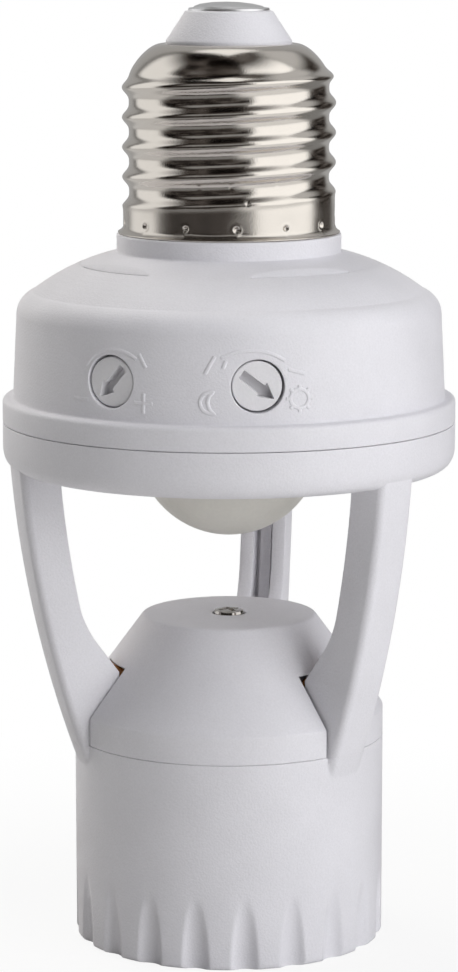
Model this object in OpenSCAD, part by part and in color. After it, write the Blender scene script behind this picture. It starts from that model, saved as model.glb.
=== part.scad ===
// Socket adapter with a motion and light sensor. Its threaded shell goes into
// an E27 lamp socket, and a lamp goes into the holder that its arms carry.
// Frame: +Z up the common axis, origin in the open rim of the lamp holder,
// the two setting knobs face -Y. Millimetres.

/* [E27 thread] */
// Crest radius of the thread
crest_r = 13.1; // [13:0.01:13.12]
// Depth of the thread from crest to root
thread_depth = 0.85; // [0.8:0.01:0.95]
// Pitch of the thread
thread_pitch = 3.629; // [3.5:0.001:3.7]

/* [Lamp holder] */
// Gap between a lamp's thread and the plain mouth
mouth_gap = 0.6; // [0.4:0.05:0.8]
// Length of the plain mouth
mouth_h = 2.2; // [1.6:0.1:3]
// Room for the threaded sleeve between a lamp's thread and the inner tube
sleeve_room = 1.3; // [1.2:0.05:1.7]
// Wall of the inner tube
tube_t = 1.8; // [1.2:0.1:2.2]
// Gap between the inner tube and the outer skirt
skirt_gap = 1.4; // [0.9:0.1:2.6]
// Thickness of the outer skirt
skirt_t = 1.7; // [1.2:0.1:2.2]
// Height of the joint between the holder and its cone cap
holder_h = 25.6; // [24.4:0.1:26.2]
// Height of the deck's underside over that joint
deck_rise = 1.4; // [1:0.1:2]
// Thickness of the deck that carries the contacts
deck_t = 2; // [1.4:0.1:2.2]
// Number of grip flutes round the rim
flute_count = 20; // [12:1:24]
// Width of a flute at the rim
flute_w = 3.4; // [2.4:0.1:4]
// Height at which a flute runs out
flute_h = 9.2; // [6:0.1:12]
// Depth of a flute at the rim
flute_depth = 0.95; // [0.5:0.05:1.1]

/* [Cone cap] */
// Height of the cap's plain lip
lip_h = 3.45; // [2.8:0.05:4]
// Height of the cone above the lip
cone_h = 11.6; // [11:0.1:12.2]
// How far the cone comes in from the lip to its flat top
cone_run = 8.8; // [7.3:0.1:10.3]
// Wall of the cap
cap_t = 2; // [1.6:0.1:2.2]
// Radius of the screw head
screw_head_r = 2.1; // [1.8:0.1:2.6]
// Radius of the screw shank
screw_r = 1.25; // [1:0.05:1.4]
// Depth of the screw's seat below the flat top
screw_sink = 1.75; // [1.4:0.05:1.8]

/* [Arms] */
// Width of an arm across its flanks
arm_w = 5.8; // [5:0.1:6.6]
// Width of the channel in an arm's inner side
channel_w = 2.4; // [2:0.1:2.8]
// Thickness of the web behind the channel
arm_web = 1.8; // [1.2:0.1:2]
// Radial depth of an arm under the head
arm_depth = 5.1; // [4.6:0.1:5.6]
// Outward bow of the arm's outer face
arm_bow = 1.3; // [0.8:0.05:1.8]
// Depth below the cap's joint at which an arm runs out into the holder
foot_drop = 2.7; // [1.6:0.1:4]
// Depth below the cone's top of the knee where an arm turns in to the cone
knee_drop = 0.05; // [-1:0.05:1]
// How far an arm's root reaches in from the face of the lip
root_depth = 4.2; // [3.8:0.1:4.6]
// Gap between an arm and the cap's notch
notch_gap = 0.2; // [0.15:0.05:0.4]

/* [Head] */
// Height of the opening between the cone's top and the ring
eye_h = 18.65; // [17:0.05:20]
// Outer radius of the ring round the head
ring_r = 28; // [27.5:0.1:29]
// Height of the ring's side up to the joint between the two housings
ring_h = 5.8; // [5:0.1:6.4]
// Rounding of the ring's lower edge
ring_round = 3; // [1.5:0.1:3.4]
// Height of the stepped lip of the upper housing
step_h = 3; // [2.8:0.1:3.4]
// Width of the step from the ring in to the side
step_w = 1.3; // [1:0.1:1.6]
// Height of the side above the step
side_h = 10.2; // [9.6:0.1:11]
// Draft of the side over its height
side_draft = 0.5; // [0.2:0.1:0.8]
// Height of the domed shoulder, from the side up to the collar
crown_h = 7.7; // [7:0.1:8.2]
// Wall of the housings
wall_t = 2; // [1.6:0.1:2.1]
// Thickness of the lower housing's floor
floor_t = 2; // [1.4:0.1:2.2]
// Distance of the crescent recesses' outer edge from the side
recess_in = 8.3; // [7:0.1:9]
// Angle that one recess spans
recess_angle = 46; // [20:1:70]

/* [Knobs] */
// Angle of each knob from the front
knob_angle = 19.5; // [19:0.5:24]
// Height of the knobs' axes above the joint of the housings
knob_up = 7.6; // [7.4:0.1:8.2]
// Radius of a knob's face
knob_r = 2.95; // [2.6:0.05:3.2]
// Gap between a knob and its hole
knob_gap = 0.15; // [0.1:0.05:0.25]
// Depth of a knob's face inside the side
knob_sink = 0.6; // [0.4:0.05:0.9]
// Turn of the left pointer, clockwise from straight up as seen from outside
time_turn = 218; // [200:1:220]
// Turn of the right pointer, clockwise from straight up as seen from outside
lux_turn = 128; // [125:1:160]

/* [E27 shell] */
// How far the plain skirt lies inside the crests
skirt_in = 0.23; // [0.1:0.01:0.3]
// Thickness of the shell's sheet
shell_t = 0.4; // [0.3:0.05:0.45]
// Number of staking dimples
dimple_count = 12; // [6:1:16]
// Ledge of the collar round the crests
collar_w = 0.5; // [0.3:0.05:1.5]
// Height of the collar
collar_h = 2.25; // [1.8:0.05:2.6]
// Height of the shell on its collar
shell_h = 23.05; // [22.6:0.05:23.5]
// How far the rolled top reaches in from the thread's root
top_w = 4.5; // [4:0.1:5]
// Height of the white tip above the shell's top
tip_h = 4.05; // [3:0.05:4.5]
// How far the edge of the centre contact lies inside the shell's opening
contact_in = 3.05; // [2.6:0.05:3.6]

/* [Sensor] */
// Radius of the milky dome
dome_r = 11.5; // [11:0.1:12]
// Height of the dome's centre over the ring's underside
dome_up = 2.9; // [2.6:0.1:3.1]
// Wall of the dome
dome_t = 0.7; // [0.5:0.1:0.9]
// Height of the circuit board over the floor
board_up = 6.1; // [5.9:0.1:6.3]
// Thickness of the circuit board
board_t = 1.6; // [1:0.1:1.6]
// Radius of a lead over its insulation
lead_r = 0.75; // [0.5:0.05:0.8]
// Radius of the motion sensor's can
pir_r = 4.15; // [4:0.05:4.6]
// Height of the motion sensor's can
pir_h = 4.2; // [3.8:0.1:4.4]
// Distance of the light sensor from the axis
light_x = 7.1; // [6.6:0.1:7.4]
// Radius of the light sensor
light_r = 1.5; // [1:0.1:1.5]

/* [Components] */
// Length of the relay
relay_l = 17.8; // [15:0.1:18]
// Width of the relay
relay_w = 10.1; // [7:0.1:10.2]
// Height of the relay
relay_h = 12.3; // [10:0.1:12.5]
// Length of the film capacitor
film_l = 13; // [10:0.1:13]
// Width of the film capacitor
film_w = 6; // [4:0.1:6]
// Height of the film capacitor
film_h = 11; // [8:0.1:12]
// Length of the controller chip
chip_l = 9.9; // [4.9:0.1:10]
// Width of the controller chip
chip_w = 3.9; // [3.8:0.1:4]
// Height of the controller chip
chip_h = 1.6; // [1.4:0.05:1.75]
// Length of the bridge rectifier
bridge_l = 8.2; // [6:0.1:8.4]
// Width of the bridge rectifier
bridge_w = 6.4; // [5:0.1:6.5]
// Height of the bridge rectifier
bridge_h = 2.6; // [2:0.1:3.4]
// Radius of the smoothing capacitor
big_can_r = 4; // [3:0.1:4]
// Height of the smoothing capacitor
big_can_h = 11.5; // [9:0.1:12]
// Radius of the timing capacitor
small_can_r = 2.5; // [2:0.1:2.5]
// Height of the timing capacitor
small_can_h = 7; // [5:0.1:9]
// Radius of the fusible resistor
fuse_r = 1.6; // [1.2:0.1:1.7]
// Length of the fusible resistor
fuse_l = 8; // [6:0.1:8.5]
// Depth of a trimmer's body
trimmer_d = 4.2; // [3.8:0.1:4.5]
// Width of a trimmer's body
trimmer_w = 6.8; // [6.4:0.1:7]

/* [Hidden] */
$fn = 72;

// small clearance between pieces that lie in one another, and a cut's overrun
fit = 0.15;
over = 1;

// lamp holder and cap, from the lamp's thread outwards and from the rim up
root_r = crest_r - thread_depth;
mouth_r = crest_r + mouth_gap;
tube_bore_r = crest_r + sleeve_room;
tube_r = tube_bore_r + tube_t;
holder_r = tube_r + skirt_gap + skirt_t;
deck_z = holder_h + deck_rise;
deck_top = deck_z + deck_t;
cone_z = holder_h + lip_h;
cone_top_r = holder_r - cone_run;
cap_top = cone_z + cone_h;
screw_seat = cap_top - screw_sink;
boss_r = screw_r + 1.95;
boss_top = cap_top - cap_t - 2.6;

// head, from the ring inwards and up
ring_z = cap_top + eye_h;
floor_top = ring_z + floor_t;
seam_z = ring_z + ring_h;
step_top = seam_z + step_h;
side_r = ring_r - step_w;
shoulder_r = side_r - side_draft;
shoulder_z = step_top + side_h;
collar_r = crest_r + collar_w;
collar_z = shoulder_z + crown_h;
recess_r = side_r - recess_in;
knob_z = seam_z + knob_up;
knob_face = side_r - knob_sink;
seat_r = knob_face - 4.8;
dome_z = ring_z + dome_up;
spigot_r = side_r - 1.2;
spigot_t = 1.3;
spigot_top = seam_z + 2.4;
board_z = floor_top + board_up;
board_top = board_z + board_t;
board_r = spigot_r - spigot_t - 0.3;

// shell and the neck inside it
shell_skirt_r = crest_r - skirt_in;
shell_z = collar_z + collar_h;
shell_top = shell_z + shell_h;
opening_r = root_r - top_w;
contact_r = opening_r - contact_in;
neck_r = root_r - shell_t - fit;
neck_skirt_r = shell_skirt_r - shell_t - fit;
neck_bore = neck_r - 2.3;
tip_top = shell_top + tip_h;
thread_start = shell_z + 4.15;
thread_end = shell_top - 3.7;
// height of a thread crest straight in front
crest_z = thread_start + 7.14;
// height of the hole for the lead that feeds the shell, and where both leads start on the board
feed_z = shell_z + 8.2;
feed_x = neck_bore - 1.4;

// arms
arm_foot_z = holder_h - foot_drop;
arm_top_r = ring_r - 0.5;
arm_sink = 0.13;
arm_root_r = holder_r - root_depth;
knee_r = holder_r + 0.2;
knee_z = cap_top - knee_drop;
notch_r = arm_root_r - 0.9;
channel_z = deck_top + 1.2;
ARM_AZ = [-60, 60, 180];
POST_AZ = [0, 120, 240];
// terminals in the lamp holder
tab_az = -110;
rivet_x = 7;
spring_t = 0.4;

// points from a to b on an arc that bows by sag to the right of the way
function arc_pts(a, b, sag, n) =
    let (c = b - a, l = norm(c),
         r = (l * l / 4 + sag * sag) / (2 * sag),
         o = (a + b) / 2 + [c[1], -c[0]] / l * (sag - r),
         v = a - o, turn = 2 * asin(l / 2 / r))
    [for (i = [0:n]) let (t = turn * i / n)
        o + [v[0] * cos(t) - v[1] * sin(t), v[0] * sin(t) + v[1] * cos(t)]];

// points of a quarter round about centre c from angle t0 to t1
function round_pts(c, r, t0, t1, n) =
    [for (i = [0:n]) let (t = t0 + (t1 - t0) * i / n) c + r * [cos(t), sin(t)]];

// a point at radius r, azimuth az from the front towards +X, height z
function at(r, az, z) = [r * sin(az), -r * cos(az), z];

// turns +X to the azimuth az, counted from the front towards +X
module at_az(az) { rotate([0, 0, az - 90]) children(); }

// the plane of an arm: drawn as [radius, height], w thick
module radial_plate(w) {
    rotate([90, 0, 0]) linear_extrude(height = w, center = true) children();
}

// a round bar along +X from x0 to x1, at the height of a knob's axis
module axle(r, x0, x1) {
    translate([x0, 0, knob_z]) rotate([0, 90, 0]) cylinder(r = r, h = x1 - x0);
}

// an insulated lead swept through a list of points; side is a direction it never takes
module lead(points, side, r = lead_r, n = 8) {
    m = len(points);
    rings = [for (i = [0:m - 1])
        let (a = points[max(i - 1, 0)], b = points[min(i + 1, m - 1)],
             t = (b - a) / norm(b - a), u = cross(t, side), v = u / norm(u), w = cross(t, v))
        for (j = [0:n - 1]) points[i] + r * (cos(360 * j / n) * v + sin(360 * j / n) * w)];
    faces = concat(
        [[for (j = [0:n - 1]) j]],
        [[for (j = [n - 1:-1:0]) (m - 1) * n + j]],
        [for (i = [0:m - 2], j = [0:n - 1])
            let (k = i * n + j, l = i * n + (j + 1) % n)
            each [[k, l + n, l], [k, k + n, l + n]]]);
    polyhedron(rings, faces);
}

// a tube with a helical wave: rows of [radius, wave, height] round one closed section
module wave_tube(rows, z0, n) {
    m = len(rows);
    points = [for (row = rows, j = [0:n - 1])
        let (t = 360 * j / n, r = row[0] + row[1] * cos(t + 90 - 360 * (row[2] - z0) / thread_pitch))
        [r * cos(t), r * sin(t), row[2]]];
    faces = [for (i = [0:m - 1], j = [0:n - 1])
        let (k = (i + 1) % m, l = (j + 1) % n,
             a = i * n + j, b = i * n + l, c = k * n + l, d = k * n + j)
        each [[a, c, b], [a, d, c]]];
    polyhedron(points, faces);
}

// the line of the upper housing from its side up to the collar, set in by t
function head_line(t) = concat(
    [[side_r - t, step_top]],
    arc_pts([shoulder_r - t, shoulder_z], [shoulder_r - t - 2, shoulder_z + 2.9 - t * 0.6], 0.55, 5),
    arc_pts([shoulder_r - t - 2.2, shoulder_z + 3.05 - t * 0.6], [collar_r - t * 0.6, collar_z - t], 0.6, 6));

module centre_contact() {
    color("lightgray") rotate_extrude() polygon(concat(
        [[0, tip_top - 4.4], [2.3, tip_top - 4.4], [2.3, tip_top - 3.85], [1.5, tip_top - 3.85],
         [1.5, tip_top], [contact_r, tip_top], [contact_r, tip_top + 0.35],
         [contact_r - 0.3, tip_top + 0.6], [contact_r - 0.9, tip_top + 0.6]],
        arc_pts([contact_r - 1.1, tip_top + 0.5], [0, tip_top + 1.05], 0.1, 4)));
}

module screw_shell() {
    wave = (crest_r - root_r) / 2;
    step = thread_pitch / 8;
    turns = floor((thread_end - thread_start) / step);
    thread = [for (i = [0:turns])
        let (z = thread_start + i * step,
             f = min(1, i / 2.5) * min(1, (turns - i) / 2.5))
        [root_r + wave * f, wave * f, z]];
    shoulder = [for (p = arc_pts([root_r, thread_end + 0.1], [opening_r + 0.9, shell_top], 0.6, 5))
        [p[0], 0, p[1]]];
    under = [for (p = arc_pts([opening_r + 0.7, shell_top - shell_t], [root_r - shell_t, thread_end - 0.1],
                              -0.55, 4)) [p[0], 0, p[1]]];
    skirt_in = shell_skirt_r - shell_t;
    color("silver") difference() {
        wave_tube(concat(
            [[shell_skirt_r, 0, shell_z], [shell_skirt_r, 0, thread_start - 0.7]],
            thread, shoulder,
            [[opening_r, 0, shell_top], [opening_r, 0, shell_top - shell_t]], under,
            [[root_r - shell_t, 0, thread_start + 0.4], [skirt_in, 0, thread_start - 0.4],
             [skirt_in, 0, shell_z]]), crest_z, 48);
        for (i = [0:dimple_count - 1])
            at_az(360 * (i + 0.5) / dimple_count)
                translate([shell_skirt_r - 0.3, 0, shell_z + 1.3]) rotate([0, 90, 0])
                    cylinder(r1 = 0.25, r2 = 0.95, h = 0.5, $fn = 16);
    }
}

module upper_housing() {
    inner = head_line(wall_t);
    color("white") difference() {
        union() {
            rotate_extrude() polygon(concat(
                [[spigot_r + fit, seam_z], [ring_r, seam_z]],
                round_pts([ring_r - 0.8, step_top - 0.8], 0.8, 0, 90, 5),
                head_line(0),
                [[collar_r, collar_z]],
                round_pts([collar_r - 0.5, shell_z - 0.5], 0.5, 0, 90, 4),
                [[neck_skirt_r, shell_z], [neck_skirt_r, thread_start - 0.6],
                 [neck_r, thread_start + 0.2], [neck_r, thread_end - 0.3]],
                arc_pts([neck_r - 0.05, thread_end - 0.2],
                        [opening_r + 0.5, shell_top - shell_t - fit], 0.4, 4),
                [[opening_r - 0.1, shell_top - shell_t - fit], [opening_r - 0.1, shell_top],
                 [contact_r + 0.35, tip_top - 0.3], [contact_r + 0.05, tip_top], [1.6, tip_top],
                 [1.6, tip_top - 3.8], [3.2, tip_top - 3.8], [3.2, tip_top - 4.6],
                 [neck_bore, thread_end - 1], [neck_bore, collar_z - 0.5]],
                [for (i = [len(inner) - 1:-1:0]) inner[i]],
                [[side_r - wall_t, spigot_top + 0.4], [spigot_r + fit, spigot_top + 0.4],
                 [spigot_r + fit, seam_z + 2], [spigot_r + 0.45, seam_z + 1.75],
                 [spigot_r + 0.45, seam_z + 1.25], [spigot_r + fit, seam_z + 1]]));
            // ribs that hold the board down on its posts
            for (az = POST_AZ)
                at_az(az) translate([board_r - 2.2, -0.6, board_top])
                    cube([side_r - wall_t + 0.3 - board_r + 2.2, 1.2, 9]);
        }
        // knob holes
        for (az = [-knob_angle, knob_angle])
            at_az(az) axle(knob_r + knob_gap, knob_face - 6, ring_r + over);
        // crescent recesses, deepest along their outer edge
        for (i = [0:3])
            rotate([0, 0, 90 * i - 45 - recess_angle / 2])
                rotate_extrude(angle = recess_angle)
                    polygon([[recess_r - 2.6, collar_z - 0.55], [recess_r, collar_z - 2.15],
                             [recess_r, collar_z + over], [recess_r - 2.6, collar_z + over]]);
        // hole for the lead that feeds the shell
        at_az(70) translate([0, 0, feed_z]) rotate([0, 90, 0])
            cylinder(r = lead_r + 0.2, h = neck_r + over);
    }
}

// knob: recessed arrow face, collar behind the wall, blade that drives the rotor
module knob(az, turn) {
    at_az(az) difference() {
        union() {
            axle(knob_r, knob_face - 2.4, knob_face);
            axle(knob_r + 0.65, knob_face - 2.9, knob_face - 2.1);
            axle(1.7, knob_face - 4, knob_face - 2.9);
            translate([knob_face - 5.1, 0, knob_z]) rotate([turn, 0, 0])
                translate([0, -0.4, -1.4]) cube([1.2, 0.8, 2.8]);
        }
        translate([knob_face - 0.75, 0, knob_z]) rotate([turn, 0, 0])
            rotate([90, 0, 90]) linear_extrude(height = over)
                polygon([[-0.58, -2.2], [0.58, -2.2], [0.58, 0.6], [0.95, 0.6],
                         [0, 2.3], [-0.95, 0.6], [-0.58, 0.6]]);
    }
}

module time_knob() { color("whitesmoke") knob(-knob_angle, -time_turn); }

module lux_knob() { color("whitesmoke") knob(knob_angle, -lux_turn); }

// trimmer body on the board, with a seat for its rotor
module trimmer(az) {
    at_az(az) difference() {
        translate([seat_r - trimmer_d, -trimmer_w / 2, board_top])
            cube([trimmer_d, trimmer_w, knob_z + trimmer_w / 2 - board_top]);
        axle(trimmer_w / 2 - 0.5, seat_r - 1.3, seat_r + over);
        axle(1.05, seat_r - trimmer_d - over, seat_r);
    }
}

module time_trimmer() { color("royalblue") trimmer(-knob_angle); }

module lux_trimmer() { color("royalblue") trimmer(knob_angle); }

// turning part of a trimmer: slotted disc on a short shaft
module rotor(az, turn) {
    at_az(az) difference() {
        union() {
            axle(trimmer_w / 2 - 0.6, seat_r - 1.2, seat_r + 0.5);
            axle(1, seat_r - trimmer_d + 0.1, seat_r - 1.2);
        }
        translate([seat_r - 0.5, 0, knob_z]) rotate([turn, 0, 0])
            translate([0, -0.45, -1.5]) cube([1.2, 0.9, 3]);
    }
}

module time_rotor() { color("ivory") rotor(-knob_angle, -time_turn); }

module lux_rotor() { color("ivory") rotor(knob_angle, -lux_turn); }

// outer face of an arm from its foot, just inside the holder's skirt, up to the ring; set in by t
function arm_face(t) = arc_pts([holder_r - arm_sink - t, arm_foot_z - 2.7 * arm_sink],
                               [arm_top_r - t, ring_z + 0.9], arm_bow, 12);

// radius of that face at height z
function arm_r(t, z) = lookup(z, [for (p = arm_face(t)) [p[1], p[0]]]);

// section of an arm in its own plane
module arm_section() {
    polygon(concat(
        [[tube_r - 0.6, arm_foot_z - 1], [holder_r - 0.7, arm_foot_z - 1]],
        arm_face(0),
        [[arm_top_r - arm_depth, ring_z + 0.9], [arm_top_r - arm_depth, ring_z]],
        arc_pts([arm_top_r - arm_depth, ring_z - 0.1], [knee_r, knee_z], -0.35, 6),
        [[arm_root_r, cone_z + (holder_r - arm_root_r) * cone_h / (holder_r - cone_top_r)],
         [arm_root_r, deck_top - 0.5]]));
}

module lower_housing() {
    color("white") difference() {
        union() {
            // ring, floor and spigot of the head
            rotate_extrude() polygon(concat(
                [[dome_r + 0.2, ring_z]],
                round_pts([ring_r - ring_round, ring_z + ring_round], ring_round, -90, 0, 8),
                [[ring_r, seam_z], [spigot_r, seam_z], [spigot_r, seam_z + 1.15],
                 [spigot_r + 0.3, seam_z + 1.35], [spigot_r + 0.3, seam_z + 1.65],
                 [spigot_r, seam_z + 1.85], [spigot_r, spigot_top],
                 [spigot_r - spigot_t, spigot_top], [spigot_r - spigot_t, floor_top],
                 [dome_r + 2.9, floor_top], [dome_r + 2.9, floor_top + 1], [dome_r + 2.1, floor_top + 1],
                 [dome_r + 2.1, floor_top], [dome_r + 0.2, floor_top]]));
            // lamp holder: skirt, inner tube and deck
            rotate_extrude() polygon([
                [mouth_r, 0], [holder_r - 0.7, 0], [holder_r - 0.2, 0.2], [holder_r, 0.7],
                [holder_r, holder_h], [holder_r - skirt_t, holder_h], [holder_r - skirt_t, mouth_h],
                [tube_r, mouth_h], [tube_r, deck_top], [0, deck_top], [0, deck_z],
                [tube_bore_r, deck_z], [tube_bore_r, mouth_h], [mouth_r, mouth_h]]);
            translate([0, 0, deck_z + deck_t / 2]) cylinder(r = boss_r, h = boss_top - deck_z - deck_t / 2);
            for (az = POST_AZ)
                at_az(az) translate([board_r - 3.2, 0, floor_top - 0.5])
                    cylinder(r = 2, h = board_z - floor_top + 0.5);
            for (az = ARM_AZ)
                intersection() {
                    rotate([0, 0, az - 102]) rotate_extrude(angle = 24) arm_section();
                    at_az(az) translate([tube_bore_r + 0.3, -arm_w / 2, 0]) cube([ring_r, arm_w, seam_z]);
                }
        }
        // channels in the arms, open inward and up through the floor
        for (az = ARM_AZ)
            at_az(az) radial_plate(channel_w) polygon(concat(
                [[arm_root_r - 0.6, channel_z], [arm_r(arm_web, channel_z), channel_z]],
                [for (p = arm_face(arm_web)) if (p[1] > channel_z + 0.5) p],
                [[spigot_r - spigot_t, floor_top + 0.2], [arm_root_r - 0.6, floor_top + 0.2]]));
        // grip flutes: round scoops that lean out to the skirt's face
        scoop_r = (flute_w * flute_w / 4 + flute_depth * flute_depth) / (2 * flute_depth);
        for (i = [0:flute_count - 1])
            rotate([0, 0, 360 * i / flute_count - 90])
                translate([holder_r - flute_depth + scoop_r, 0, 0])
                    rotate([0, atan(flute_depth / flute_h), 0])
                        translate([0, 0, -over]) cylinder(r = scoop_r, h = flute_h + 3 * over, $fn = 12);
        // pilot hole of the cap screw
        translate([0, 0, deck_top + 0.5]) cylinder(r = screw_r + 0.05, h = boss_top);
        // passages for the sleeve's tab and the contact's rivet
        at_az(tab_az) translate([tube_bore_r - 0.7, -2.2, deck_z - over]) cube([0.75, 4.4, deck_t + 2 * over]);
        translate([rivet_x, 0, deck_z - over]) cylinder(r = 1.25, h = deck_t + 2 * over);
    }
}

module sensor_lens() {
    color("gainsboro") rotate_extrude() polygon(concat(
        round_pts([0, dome_z], dome_r, -90, asin((floor_top - dome_z) / dome_r), 14),
        [[dome_r + 1.9, floor_top], [dome_r + 1.9, floor_top + 0.8], [dome_r - dome_t, floor_top + 0.8]],
        [for (p = round_pts([0, dome_z], dome_r - dome_t, 0, -90, 14)) if (p[1] < floor_top + 0.7) p]));
}

module holder_cap() {
    notch_w = arm_w + 2 * notch_gap;
    color("white") difference() {
        union() {
            rotate_extrude() polygon([
                [holder_r - skirt_t, holder_h], [holder_r, holder_h], [holder_r, cone_z],
                [cone_top_r + 0.4, cap_top - 0.5], [cone_top_r - 0.3, cap_top], [0, cap_top],
                [0, cap_top - cap_t], [cone_top_r - 1, cap_top - cap_t],
                [holder_r - skirt_t, cone_z - 0.7]]);
            translate([0, 0, boss_top + 0.05]) cylinder(r = boss_r, h = cap_top - boss_top - over);
        }
        translate([0, 0, boss_top - over]) cylinder(r = screw_r + 0.2, h = cap_top);
        translate([0, 0, screw_seat]) cylinder(r = screw_head_r + fit, h = cap_top);
        for (az = ARM_AZ)
            at_az(az) translate([notch_r, -notch_w / 2, holder_h - over]) cube([holder_r, notch_w, cap_top]);
    }
}

module cap_screw() {
    head_h = cap_top - 0.2 - screw_seat;
    color("silver") difference() {
        union() {
            translate([0, 0, screw_seat]) rotate_extrude() polygon(concat(
                [[0, 0], [screw_head_r, 0], [screw_head_r, head_h - 0.5]],
                arc_pts([screw_head_r - 0.3, head_h - 0.2], [0, head_h], 0.1, 4)));
            translate([0, 0, deck_top + 1.2]) cylinder(r = screw_r, h = screw_seat - deck_top - over);
        }
        // cross recess
        for (a = [45, 135])
            rotate([0, 0, a]) translate([-1.25, -0.25, cap_top - 1]) cube([2.5, 0.5, 2]);
    }
}

// a lead down the channel of one arm, then across the deck to its terminal
function arm_lead(az, ends) =
    let (top = ring_z - 3.3, foot = channel_z + 3.8)
    concat([at(board_r - 1.6, az, board_z), at(board_r - 1.6, az, floor_top)],
           [for (i = [0:4]) let (z = top + (foot - top) * i / 4)
               at(arm_r(arm_web + lead_r + 0.1, z), az, z)],
           [at(arm_root_r + 2.7, az, channel_z + lead_r + 0.25),
            at(arm_root_r - 1.8, az, channel_z + lead_r + 0.15)], ends);

module neutral_lead() {
    color("saddlebrown") lead(arm_lead(ARM_AZ[0],
        [at(tube_bore_r - 2.4, tab_az, deck_top + 1.6), at(tube_bore_r - 0.8, tab_az, deck_top + 1.4)]),
        at(1, ARM_AZ[0] + 80, 0.3));
}

module load_lead() {
    color("saddlebrown") lead(arm_lead(ARM_AZ[1],
        [[rivet_x, 0, deck_top + 2], [rivet_x, 0, deck_top + 0.6]]), at(1, ARM_AZ[1] + 80, 0.3));
}

module main_board() {
    color("darkgoldenrod") translate([0, 0, board_z]) cylinder(r = board_r, h = board_t);
}

module pir_sensor() {
    color("silver") translate([0, 0, board_z - 0.5]) mirror([0, 0, 1]) {
        difference() {
            union() {
                cylinder(r = pir_r + 0.45, h = 0.5);
                cylinder(r = pir_r, h = pir_h);
            }
            translate([-2, -1.5, pir_h - 0.3]) cube([4, 3, over]);
        }
        for (a = [0:120:240])
            rotate([0, 0, a]) translate([2.5, 0, -0.5]) cylinder(r = 0.23, h = over, $fn = 16);
    }
}

module light_sensor() {
    color("lightcyan") translate([light_x, 0, board_z - 0.5]) mirror([0, 0, 1]) {
        cylinder(r = light_r, h = 2.6);
        translate([0, 0, 2.6]) sphere(r = light_r);
        for (x = [-0.6, 0.6])
            translate([x, 0, -0.5]) cylinder(r = 0.2, h = over, $fn = 16);
    }
}

// a component's block on the board, corners chamfered at the top
module block(x, y, l, w, h) {
    translate([x - l / 2, y - w / 2, board_top]) union() {
        cube([l, w, h - 0.4]);
        translate([0.4, 0.4, 0]) cube([l - 0.8, w - 0.8, h]);
    }
}

module relay() { color("darkslategray") block(-2, film_w / 2 + 1.45 + relay_w / 2, relay_l, relay_w, relay_h); }

module film_capacitor() { color("gold") block(-0.5, 0.5 - film_w / 2, film_l, film_w, film_h); }

module controller_chip() { color("dimgray") block(0, -film_w - 1.65 - chip_w / 2, chip_l, chip_w, chip_h); }

module rectifier() { color("black") block(-board_r + bridge_l, 2.4, bridge_l, bridge_w, bridge_h); }

// an upright can with a rolled seal at its foot
module can(x, y, r, h) {
    translate([x, y, board_top]) rotate_extrude() polygon([
        [0, 0], [r, 0], [r, 1], [r - 0.25, 1.4], [r, 1.8], [r, h - 0.4], [r - 0.4, h], [0, h]]);
}

module smoothing_capacitor() { color("navy") can(film_l / 2 + 3 + big_can_r, -3, big_can_r, big_can_h); }

module timing_capacitor() { color("navy") can(-film_l / 2 - 4.5 - small_can_r, -6.8, small_can_r, small_can_h); }

module fuse_resistor() {
    reach = fuse_l / 2 + 1;
    color("seagreen") translate([board_r - 8.7, fuse_l / 2 + 3, board_top]) {
        translate([0, -fuse_l / 2, fuse_r]) rotate([-90, 0, 0]) cylinder(r = fuse_r, h = fuse_l, $fn = 32);
        for (y = [-reach, reach]) {
            translate([0, y, 0]) cylinder(r = 0.3, h = fuse_r + 0.3, $fn = 16);
            translate([0, y > 0 ? y - 1.1 : y, fuse_r]) rotate([-90, 0, 0])
                cylinder(r = 0.3, h = 1.1, $fn = 16);
        }
    }
}

module cap_lead() {
    color("black") lead([[feed_x, 1.8, board_top], [feed_x, 1.8, collar_z - 2], [feed_x / 2, 1, feed_z - 1.2],
                         [0, 0, tip_top - 7], [0, 0, tip_top - 4.4]], [-1, 3, 0]);
}

module shell_lead() {
    color("black") lead([[feed_x, -6.7, board_top], [feed_x, -6.7, board_top + 1.5],
                         [feed_x - 0.6, -5.4, collar_z - 5], [feed_x - 1.8, -3, collar_z],
                         [feed_x - 2.6, -2, feed_z], at(neck_r, 70, feed_z)], [0.3, 1, 0]);
}

// rolled sleeve of the lamp holder, with its solder tab
module threaded_sleeve() {
    sheet = 0.35;
    wave = 0.47;
    mean_r = crest_r - 0.2;
    top = deck_z - 2.9;
    step = thread_pitch / 7;
    rows = floor((top - mouth_h - 3) / step);
    plain_r = tube_bore_r - fit;
    thread = [for (i = [0:rows])
        let (f = min(1, i / 2) * min(1, (rows - i) / 2))
        [mean_r, wave * f, mouth_h + 1.6 + i * step]];
    color("goldenrod") {
        wave_tube(concat(
            [[plain_r, 0, mouth_h], [plain_r, 0, mouth_h + 1]],
            [for (p = thread) [p[0] + sheet, p[1], p[2]]],
            [[plain_r, 0, top - 0.8], [plain_r, 0, top], [plain_r - sheet, 0, top],
             [plain_r - sheet, 0, top - 0.9]],
            [for (i = [rows:-1:0]) thread[i]],
            [[plain_r - sheet, 0, mouth_h + 1.1], [plain_r - sheet, 0, mouth_h]]), 0, 36);
        at_az(tab_az) translate([plain_r - sheet - 0.05, -1.9, top - 0.9])
            cube([0.34, 3.8, deck_top + 2.6 - top]);
    }
}

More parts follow.
